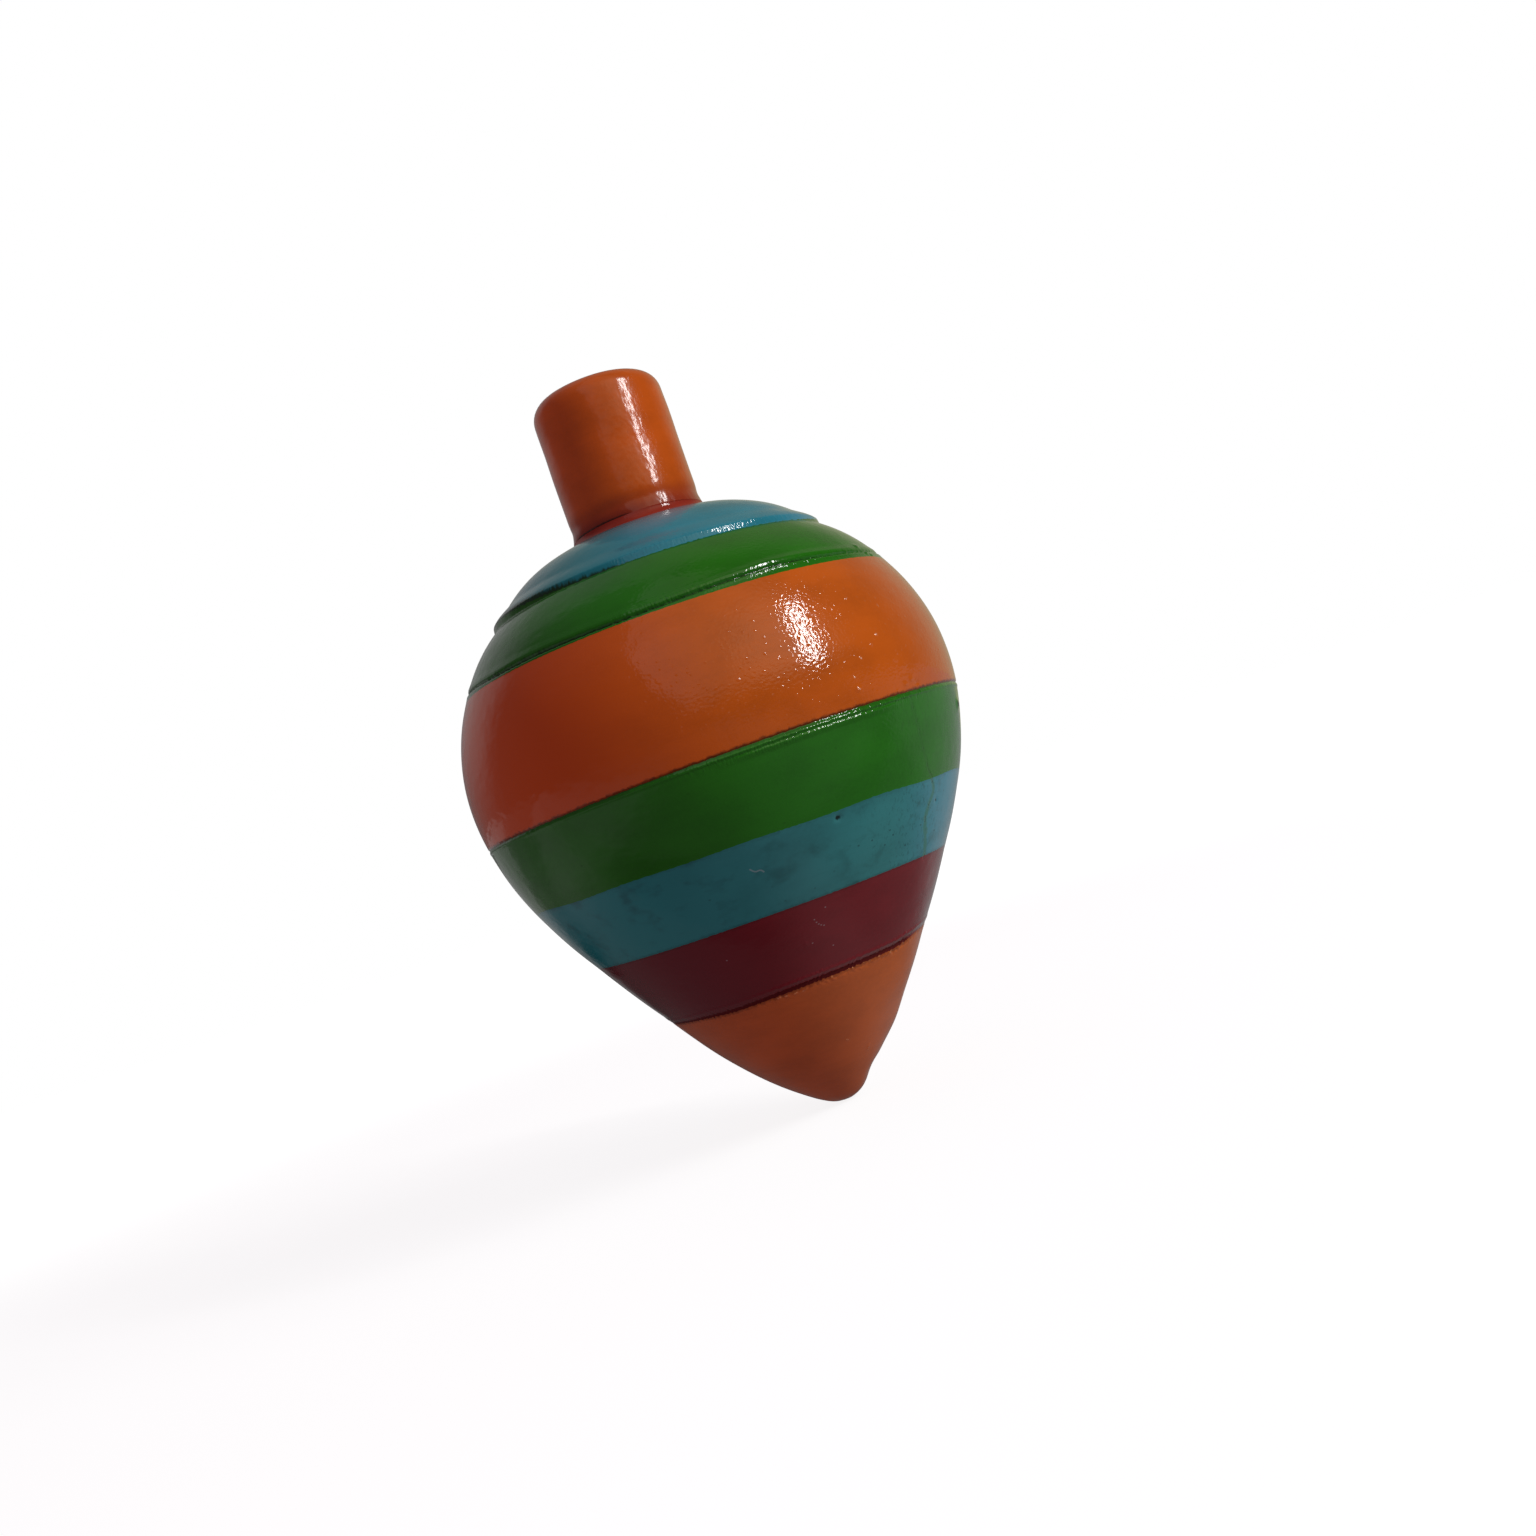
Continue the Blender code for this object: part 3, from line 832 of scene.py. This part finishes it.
class Lac(Paint):
    """Glossy lac: faintly mottled colour, specks, painted shade along its borders and in its recesses,
    painted shading on its sides, painted glints, and a pebbled clear top.
    """

    def __init__(self, name, colour, **changes):
        super().__init__(name)
        self.colour = colour
        self.look = SimpleNamespace(**{**PLAIN_LAC, **changes})
        self.place = self.field("turned", "Vector")
        self.clouds = self.noise((7.0, 7.0, 4.0), 3.0, 0.5)
        self.grain = self.noise((0.5, 0.5, 0.4), 2.0, 0.6)
        self.patch = self.noise((3.2, 3.2, 2.2), 3.0, 0.6)
        self.stroke = self.noise((0.22, 0.22, 1.1), 1.0, 0.4)

    def made(self):
        """The finished material: a dull coloured base under a clear top."""
        colour = self.cracked(self.spotted(self.stained_and_shaded(self.edged(self.mottled()))))
        dull = self.clouds.ramp(0.3, 0.7, 0.38, 0.46) + self.edge * 0.2
        broad = self.broad_relief()
        top = {
            "Specular IOR Level": BASE_SHINE, "Coat Weight": self.coat_weight(),
            "Coat Roughness": self.look.rough, "Coat Normal": self.bump(self.fine_relief(broad)),
        }
        return self.finish(colour, dull, broad, **top)

    def tinted(self, share, under, amount):
        """A colour with a lighter or darker shade of the lac over a share of it."""
        return self.mix(share, under, scaled(self.colour, amount))

    def mottled(self):
        """The lac's colour with clouds, streaks, grain, painted shading on its right and left sides, and
        patches.
        """
        look = self.look
        streaks = self.noise((18.0, 18.0, 0.4), 3.0, 0.55)
        shown = self.tinted(self.clouds.ramp(0.3, 0.7), scaled(self.colour, 0.86), 1.06)
        shown = self.tinted(streaks.ramp(0.5, 0.8, 0.0, 0.3), shown, 0.82)
        shown = self.tinted(self.grain.ramp(0.35, 0.75, 0.0, 0.25), shown, 1.12)
        # Painted shading: a lighter or darker colour on the right side and on the left side
        if look.drift:
            shown = self.mix(self.field("painted_right_share").ramp(0.0, 1.0, 0.0, 0.8), shown, opaque(look.drift))
        if look.shade:
            shown = self.mix(self.field("left"), shown, opaque(look.shade))
        return self.tinted(self.patch.ramp(0.5, 0.75, 0.0, look.patches), shown, 0.45)

    def edged(self, under):
        """Painted shade along the borders, a painted highlight along the lower edge, and a foot of another
        colour.
        """
        look = self.look
        ragged = (self.grain - 0.5) * 0.5
        upper = self.field("upper_rim") + ragged
        lower = self.field("lower_rim") + ragged
        # Painted shade along the upper and lower borders
        self.edge = upper.fall(0.05, 0.35, look.upper_dirt).most(lower.fall(0.05, 0.35, look.lower_dirt))
        shown = self.tinted(self.edge, under, 0.15)
        # Painted highlight along the lower edge
        shown = self.tinted(lower.fall(0.0, 0.2, look.bright), shown, 1.8)
        if look.foot:
            soft = self.field("lower_rim") + self.patch * 1.2
            shown = self.mix(soft.fall(0.6, 3.4, 0.95), shown, opaque(look.foot))
        return shown

    def stained_and_shaded(self, under):
        """Torn stains and painted shade where the mesh says that the lac is dark."""
        stain = self.field("stain")
        torn = stain + (self.stroke - 0.5) * self.look.torn
        self.stain_and_shade_share = torn.ramp(0.35, 0.75) * stain.ramp(0.02, 0.3)
        dark = opaque(self.look.stain) if self.look.stain else scaled(self.colour, 0.1)
        return self.mix(self.stain_and_shade_share, under, dark)

    def spotted(self, under):
        """Specks that crowd in places, scuffs, and the pale and dark spots of this lac; the pale spots are
        dust on some lacs, painted glints on the orange and flecks with painted highlights on the tip.
        """
        look = self.look
        crowd = self.field("crowd")
        distance, chance = self.cells((0.7, 0.7, 0.6))
        spot = distance.fall(0.08, 0.26) * chance.ramp(0.70, 0.95)
        wide = self.noise((6.0, 6.0, 4.0), 1.0)
        self.speck = spot * wide.ramp(0.48, 0.65, 0.1, 1.0).most(crowd) * look.specks
        shown = self.tinted(self.speck, under, 0.3)
        scuff = self.noise((0.35, 0.35, 1.0), 3.0, 0.7).ramp(0.53, 0.66, 0.0, 0.8 * look.specks)
        shown = self.tinted(scuff * crowd, shown, 0.5)
        if look.pale_spots:
            near = self.nearest(look.pale_spots).fall(0.03, 0.12, look.paleness)
            shown = self.mix(near, shown, opaque(look.pale))
        if look.dark_spots:
            shown = self.tinted(self.nearest(look.dark_spots).fall(0.04, 0.14, 0.8), shown, 0.25)
        return shown

    def cracked(self, under):
        """The check in the wood: a wandering, broken dark line in a seam of another colour."""
        look = self.look
        wander = self.noise((1.2, 1.2, 0.9), 2.0)
        lumps = self.noise((0.24, 0.24, 0.4), 2.0, 0.6)
        side = self.field("crack") + wander * 0.5 + lumps * 0.6
        broken = self.noise((1.6, 1.6, 1.0), 1.0).ramp(0.35, 0.55)
        self.crack = side.fall(0.48, 0.66, look.checked) * broken
        seam = opaque(look.seam) if look.seam else scaled(self.colour, 1.4)
        shown = self.mix(side.fall(0.72, 0.98, 0.8 * look.checked), under, seam)
        return self.tinted(self.crack, shown, 0.22)

    def broad_relief(self):
        """Heights of the brush strokes, the crack and the specks."""
        strokes = self.stroke * (self.field("hatch") * self.look.strokes)
        return strokes - self.crack * 0.04 + self.speck * 0.012

    def fine_relief(self, broad):
        """Heights of the clear top: pebbles, waves, drops like dew, and bubbles."""
        look = self.look
        peel = self.field("peel")
        pebbles = self.noise(look.pebble, 1.0, 0.4)
        waviness = self.noise((1.5, 1.5, 1.1), 1.0, 0.4)
        fine = broad + pebbles * (peel * look.peel) + waviness * peel.ramp(0.5, 0.95, 0.045, 0.012)
        if look.dew:
            distance, chance = self.cells((0.55, 0.55, 0.5))
            fine = fine + distance.fall(0.0, 0.34, look.dew) * chance.ramp(0.35, 0.65) * peel
        if look.bubbles:
            fine = fine + self.nearest(look.bubbles).fall(0.0, 0.24, 0.06)
        return fine

    def coat_weight(self):
        """How strong the clear top is, less where a matt lac carries stains and painted shade."""
        look = self.look
        if not look.matt:
            return look.coat
        return self.stain_and_shade_share.ramp(0.0, 1.0, look.coat, look.coat * (1 - look.matt))


def wood(name, colour, dark):
    """Bare turned wood: year rings, pores along the axis and fine turning marks."""
    paint = Paint(name)
    paint.place = paint.stretch(paint.add("TexCoord").outputs["Object"], (MM, MM, MM))
    rings = paint.noise((2.2, 5.0, 30.0), 3.0)
    pores = paint.noise((0.25, 0.25, 4.0), 2.0)
    marks = paint.noise((20.0, 20.0, 0.3), 1.0)
    grained = paint.mix(rings.ramp(0.35, 0.65), opaque(colour), opaque(dark))
    colours = paint.mix(pores.ramp(0.5, 0.8, 0.0, 0.6), grained, scaled(dark, 0.6))
    return paint.finish(colours, pores.ramp(0.3, 0.7, 0.55, 0.7), pores * 0.02 + marks * 0.02)


def on_body(*places):
    """Points of the surface fields at angles in degrees and heights."""
    points = []
    for degrees, height in places:
        along = float(BODY.place_of(height))
        radius = float(BODY.at(along)[0])
        angle = math.radians(degrees)
        points.append((radius * math.sin(angle), -radius * math.cos(angle), along))
    return points


# Small spots at angles in degrees and heights: bubbles in the lac, painted glints on the belly's bubbles,
# pale flecks at the tip's edge that are partly painted highlights, pale dust and dark specks
BELLY_BUBBLES = on_body(
    (32.7, 36.7), (32.6, 37.8), (35.8, 39.3), (39.9, 40.2), (42.5, 41.0), (8.5, 40.6), (30.6, 42.6),
    (39.7, 44.9), (47.6, 43.6), (29.0, 46.8),
)
BELLY_PAINTED_GLINTS = on_body((32.6, 36.74), (32.9, 36.70), (35.8, 39.26), (42.5, 41.01), (32.6, 37.8))
LINT_ANGLES = (-2.0, -1.5, -1.1, -0.7, -0.3, 0.1, 0.5, 0.9)
LINT_HEIGHTS = (24.99, 24.78, 24.68, 24.64, 24.66, 24.66, 24.60, 24.42)
LINT_STEPS = np.linspace(LINT_ANGLES[0], LINT_ANGLES[-1], 22)
BLUE_LINT = on_body(*zip(LINT_STEPS, np.interp(LINT_STEPS, LINT_ANGLES, LINT_HEIGHTS)))
BLUE_SPECKS = on_body(
    (56.9, 25.2), (38.0, 23.6), (36.8, 24.1), (43.3, 22.3), (35.1, 23.0), (58.4, 22.6), (30.7, 23.8),
)
TIP_CRUMBS = on_body(
    (-9.9, 12.86), (-8.9, 12.90), (-6.9, 12.82), (-6.3, 12.84), (-2.8, 12.80), (-2.0, 12.84), (0.7, 12.80),
    (13.5, 13.11), (20.4, 13.20), (21.2, 13.26), (23.0, 13.20), (23.7, 13.25), (24.5, 13.31), (25.9, 13.30),
    (26.5, 13.26), (27.9, 13.30), (28.5, 13.27), (31.0, 13.22), (31.7, 13.27), (35.9, 13.28), (36.5, 13.22),
    (43.0, 13.14), (43.8, 13.19), (40.2, 4.8), (41.0, 4.6), (18.0, 6.6), (19.0, 6.5),
)
MAROON_DUST = on_body(
    (8.6, 16.82), (10.7, 18.83), (11.2, 18.53), (11.8, 18.31), (12.5, 18.15), (13.4, 18.03),
    (14.7, 19.57), (-19.1, 17.89), (15.6, 15.95),
)
GLINT_AND_CRUMB_PALENESS = 0.65

# The lacs, each with its changes from the plain look
# The green lacs: painted shade in the groove and along the upper border, and a painted highlight along the
# lower edge
GREEN_LOOK = dict(
    specks=0.3, upper_dirt=0.3, strokes=0.075, stain=(0.003, 0.020, 0.002), checked=0.35, torn=0.6,
    bright=0.12, seam=(0.009, 0.085, 0.004),
)
LACS = {
    # Orange: painted shading, redder on the left and darker on the right, painted glints on its bubbles,
    # and painted shade along its lower border
    "orange": dict(
        colour=(0.450, 0.085, 0.0045), rough=0.09, lower_dirt=0.8, peel=0.029, pebble=(0.3, 0.3, 0.28),
        dew=0.03, bubbles=BELLY_BUBBLES, pale_spots=BELLY_PAINTED_GLINTS, pale=(0.80, 0.58, 0.42),
        paleness=GLINT_AND_CRUMB_PALENESS, shade=(0.470, 0.066, 0.004), drift=(0.385, 0.071, 0.0045),
    ),
    # Stem: painted shade in the crevice at its foot
    "stem": dict(
        colour=(0.460, 0.076, 0.004), rough=0.17, peel=0.034, pebble=(0.45, 0.45, 0.75),
        foot=(0.21, 0.020, 0.006), strokes=0.0, stain=(0.05, 0.006, 0.003), torn=0.2,
    ),
    "red": dict(colour=(0.22, 0.020, 0.010), coat=0.6),
    # Crown: painted shading, lighter on the right and darker on the left
    "crown": dict(
        colour=(0.015, 0.180, 0.232), specks=0.3, strokes=0.055, torn=0.5, stain=(0.006, 0.034, 0.010),
        drift=(0.030, 0.195, 0.285), shade=(0.008, 0.160, 0.170),
    ),
    "green": dict(colour=(0.0130, 0.136, 0.004), **GREEN_LOOK),
    "shoulder": dict(colour=(0.0095, 0.119, 0.0015), **GREEN_LOOK),
    # Blue: painted shading, lighter on the right and on the left as painted reflections, and painted shade
    # along its borders
    "blue": dict(
        colour=(0.028, 0.184, 0.187), rough=0.10, specks=0.65, torn=0.5, lower_dirt=0.3, upper_dirt=0.15,
        patches=0.5, pale_spots=BLUE_LINT, dark_spots=BLUE_SPECKS, drift=(0.045, 0.232, 0.325),
        seam=(0.034, 0.165, 0.115), shade=(0.022, 0.222, 0.205),
    ),
    # Maroon: painted shading, darker on the left, and painted shade under its ridge, where its clear top is
    # also weaker
    "maroon": dict(
        colour=(0.152, 0.008, 0.013), rough=0.10, pale_spots=MAROON_DUST, torn=0.6, upper_dirt=0.25,
        stain=(0.080, 0.008, 0.008), shade=(0.115, 0.008, 0.014), matt=0.85,
    ),
    # Tip: painted shade along its upper border, and pale flecks at its torn edge that are partly painted
    # highlights
    "tip": dict(
        colour=(0.460, 0.096, 0.011), rough=0.26, upper_dirt=0.5, strokes=0.0, pale_spots=TIP_CRUMBS,
        bubbles=TIP_CRUMBS, pale=(0.66, 0.29, 0.12), paleness=GLINT_AND_CRUMB_PALENESS,
    ),
}

# Coats on the body: node, borders, places of close rows, places and widths of strokes, lac and slot
BODY_COATS = (
    ("crown_lac", "crown", "shoulder", [-0.65], [(-0.65, 0.5)], "crown", "blue_lac"),
    ("shoulder_lac", "shoulder", "belly", [0.3, -0.7], [(-0.7, 0.5)], "shoulder", "green_lac"),
    ("belly_lac", "belly", "waist", [], [], "orange", "orange_lac"),
    ("waist_lac", "waist", "blue", [0.5], [(0.5, 0.5)], "green", "green_lac"),
    ("blue_band_lac", "blue", "maroon", [], [], "blue", "blue_lac"),
    ("maroon_band_lac", "maroon", "tip", [-RIDGE_ABOVE_TIP], [], "maroon", "maroon_lac"),
    ("tip_lac", "tip", "pole", [0.5], [(0.4, 0.5)], "tip", "tip_lac"),
)


def make_pieces():
    """The coats of lac, and the wood that they cover."""
    lacs = {name: Lac(name + "_lac_paint", **look).made() for name, look in LACS.items()}
    stem_coat(lacs["stem"])
    collar_coat(lacs["red"])
    for node, upper, lower, features, hatched, paint, slot in BODY_COATS:
        body_coat(node + "_coat", upper, lower, features, hatched, lacs[paint], node)
    woods = {
        "turned_body": wood("body_wood_grain", (0.52, 0.33, 0.16), (0.36, 0.20, 0.085)),
        "stem_dowel": wood("stem_wood_grain", (0.45, 0.26, 0.12), (0.30, 0.16, 0.065)),
    }
    for node, material in woods.items():
        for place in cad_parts[node].material_slots:
            place.material = material


# Lamps: distance and target, the two ends of a tall one as directions, and a wide one behind it
LAMP_DISTANCE = 0.6
LAMP_TARGET = (0, 0, 44)
STRIP_LOW = (0.784, -0.583, 0.211)
STRIP_HIGH = (0.659, -0.322, 0.630)
STRIP_WIDTH = 0.05
STRIP_POWER = 1.6
SOFT_FROM = (0.80, -0.32, 0.50)
SOFT_SIZE = (0.25, 0.40)
SOFT_POWER = 1.7

# The room: its soft light, and the strengths of the patches that the lac mirrors
BLACK = (0.0, 0.0, 0.0, 1.0)
WHITE = (1.0, 1.0, 1.0, 1.0)
FILL = 0.265
FILL_FROM_LEFT = 0.17
FILL_FROM_BEHIND = 0.25
FILL_COLOUR = (1.12, 0.73, 0.93, 1.0)
ROOM_COLOUR = (1.0, 1.0, 0.70, 1.0)
FRONT_PATCH = 0.43
GLOW_PATCH = 0.44
RIGHT_PATCH = 0.32
LEFT_PATCH = 0.24

# The floor: its half size in metres, its level, its shadow, and the painted light that it gives off
FLOOR_SIZE = 3.0
FLOOR_LEVEL = -0.05
FLOOR_COLOUR = (0.9, 0.9, 0.9, 1.0)
FLOOR_SHADE = 0.20
FLOOR_WHITE = 1.09
FLOOR_TILT = 0.08
FLOOR_BOUNCE = 0.35
BOUNCE_COLOUR = (1.0, 1.0, 0.9, 1.0)


def room_level(nodes, x, y, z):
    """How bright the lac sees the room in a direction. Bearings are in radians, 0 towards the camera."""
    bearing = nodes.sums("ARCTAN2", x, y * -1.0)
    front = (bearing + z * 0.7).ramp(-0.02, 0.07) * bearing.fall(1.0, 1.45)
    front = front * z.ramp(0.10, 0.34) * z.ramp(0.70, 0.95, 1.0, 0.5)
    aside = (bearing - 0.70) / 0.42
    above = (z - 0.46) / 0.40
    glow = (aside * aside + above * above).fall(0.0, 1.0)
    right = bearing.ramp(1.75, 2.5) * z.ramp(0.25, 0.65, 1.0, 0.4)
    left = bearing.fall(-2.30, -1.90) * z.ramp(0.0, 0.35, 0.2, 1.0) * z.ramp(0.55, 0.8, 1.0, 0.5)
    level = z.ramp(0.5, 0.9, 0.07, 0.12) + front * FRONT_PATCH + glow * GLOW_PATCH
    return level + right * RIGHT_PATCH + left * LEFT_PATCH


def make_world():
    """A white backdrop for the camera, and a plain room for light and reflections."""
    world = bpy.data.worlds.new("studio")
    bpy.context.scene.world = world
    world.use_nodes = True
    world.node_tree.nodes.clear()
    nodes = Nodes(world.node_tree)
    x, y, z = nodes.parts(nodes.add("TexCoord").outputs["Generated"])
    rays = nodes.add("LightPath").outputs
    backdrop = y.ramp(0.985, 0.998) * rays["Is Glossy Ray"]
    shown = backdrop.most(rays["Is Camera Ray"]).most(rays["Is Transmission Ray"])
    fill = FILL - x * FILL_FROM_LEFT + y.ramp(0.2, 1.0, 0.0, FILL_FROM_BEHIND)
    soft_room = nodes.mix(fill, BLACK, FILL_COLOUR)
    warm = nodes.mix(x.ramp(-0.3, 0.3), WHITE, ROOM_COLOUR)
    mirrored_room = nodes.mix(room_level(nodes, x, y, z), BLACK, warm)
    room = nodes.mix(rays["Is Glossy Ray"], soft_room, mirrored_room)
    background = nodes.fed("Background", {"Color": nodes.mix(shown, room, WHITE)})
    nodes.fed("OutputWorld", {"Surface": background.outputs[0]})


def floor_level(paint, x, y):
    """How bright the floor glows at each place for the lac's reflections: a painted reflection."""
    nearer = y.ramp(-0.050, -0.035) * y.fall(-0.026, -0.019)
    left = x.fall(-0.09, -0.035, 0.19) * y.ramp(-0.30, 0.05) + nearer.ramp(0.0, 1.0, 0.09, 0.05)
    under = x.ramp(-0.006, 0.012, 0.0, 0.14) * x.ramp(0.013, 0.022, 1.0, 0.5)
    ahead = x.ramp(-0.015, 0.060, 0.0, 0.10) * x.fall(0.09, 0.22)
    right = under * y.ramp(-0.050, -0.025) + ahead * y.fall(-0.050, -0.025)
    far = (y + x * 0.5).ramp(0.02, 0.06, 0.0, 0.14)
    shaded = y.ramp(0.0, 0.04) * x.ramp(-0.055, -0.040, 0.155, 0.05) * x.fall(-0.04, 0.0)
    beside = paint.sums("ABSOLUTE", x) - y * 0.12
    backdrop = y.ramp(0.8, 1.2, 0.0, 0.7) * beside.fall(-0.05, 0.05)
    return left + right + far - shaded + backdrop


def make_floor():
    """A pale floor that shows white to the camera and keeps the top's shadow, and that glows for the top's
    other rays: painted reflections for mirror rays, painted light cast back for the rest.
    """
    corners = [(-1, -1), (1, -1), (1, 1), (-1, 1)]
    places = [(FLOOR_SIZE * x, FLOOR_SIZE * y, FLOOR_LEVEL * MM) for x, y in corners]
    mesh = bpy.data.meshes.new("floor")
    mesh.from_pydata(places, [], [(0, 1, 2, 3)])
    floor = linked("floor", mesh)
    paint = Paint("floor_paint")
    paint.tree.nodes.remove(paint.shader)
    rays = paint.add("LightPath").outputs
    x, y, _ = paint.parts(paint.add("NewGeometry").outputs["Position"])
    pale = paint.fed("BsdfDiffuse", {"Color": FLOOR_COLOUR}).outputs[0]
    away = paint.sums("SQRT", x * x + y * y)
    shown = paint.blend(away.fall(0.10, 0.30, FLOOR_SHADE), paint.glow(WHITE, FLOOR_WHITE), pale)
    lit = x.ramp(0.0, 0.03) * x.fall(0.06, 0.12) * y.ramp(-0.10, -0.05)
    soft = x.ramp(-0.06, 0.06, FILL + FLOOR_TILT, FILL - FLOOR_TILT)
    bounce = paint.glow(paint.mix(lit, FILL_COLOUR, BOUNCE_COLOUR), soft + lit * FLOOR_BOUNCE)
    glare = paint.glow(WHITE, floor_level(paint, x, y))
    unseen = paint.blend(rays["Is Glossy Ray"], bounce, glare)
    both = paint.blend(rays["Is Camera Ray"], unseen, shown)
    paint.feed(paint.tree.nodes["Material Output"].inputs["Surface"], both)
    paint.material.cycles.emission_sampling = "NONE"
    mesh.materials.append(paint.material)


def placed(name, data, place, right, up, back):
    """An object at a place, with the directions of its right, its up and its back."""
    holder = linked(name, data)
    turn = Matrix((right, up, back)).transposed().to_4x4()
    holder.matrix_world = Matrix.Translation(place) @ turn
    return holder


def add_lamp(name, towards, along, size, power):
    """A rectangular lamp that faces the top from a direction, with its height along another."""
    across = along.cross(towards).normalized()
    lamp = bpy.data.lights.new(name, "AREA")
    lamp.shape = "RECTANGLE"
    lamp.size, lamp.size_y = size
    lamp.energy = power
    place = towards * LAMP_DISTANCE + Vector(LAMP_TARGET) * MM
    return placed(name, lamp, place, across, towards.cross(across), towards)


def make_lamps():
    """The light from the right: a tall, narrow lamp that the lac mirrors, and a wide soft one."""
    low = Vector(STRIP_LOW)
    high = Vector(STRIP_HIGH)
    towards = (low + high).normalized()
    along = (high - low).normalized()
    length = LAMP_DISTANCE * (high - low).length / towards.dot(low)
    add_lamp("strip", towards, along, (STRIP_WIDTH, length), STRIP_POWER)
    soft = add_lamp("soft", Vector(SOFT_FROM).normalized(), along, SOFT_SIZE, SOFT_POWER)
    soft.visible_glossy = False


# Camera: place in millimetres, the directions of its right and its up, and its lens
CAMERA_PLACE = (0.0, -158.2, 27.58)
CAMERA_RIGHT = (0.9438, -0.0125, -0.3302)
CAMERA_UP = (0.3294, -0.0447, 0.9431)
CAMERA_LENS = 37.03
CAMERA_SENSOR = 36.0
CAMERA_NEAREST = 0.01


def make_camera():
    """The camera at the photograph's viewing angle, leaning as it did."""
    data = bpy.data.cameras.new("camera")
    data.lens = CAMERA_LENS
    data.sensor_width = CAMERA_SENSOR
    data.clip_start = CAMERA_NEAREST
    right = Vector(CAMERA_RIGHT).normalized()
    back = right.cross(Vector(CAMERA_UP)).normalized()
    place = Vector(CAMERA_PLACE) * MM
    bpy.context.scene.camera = placed("camera", data, place, right, back.cross(right), back)


make_pieces()
make_world()
make_floor()
make_lamps()
make_camera()
bpy.context.scene.view_settings.view_transform = "Standard"
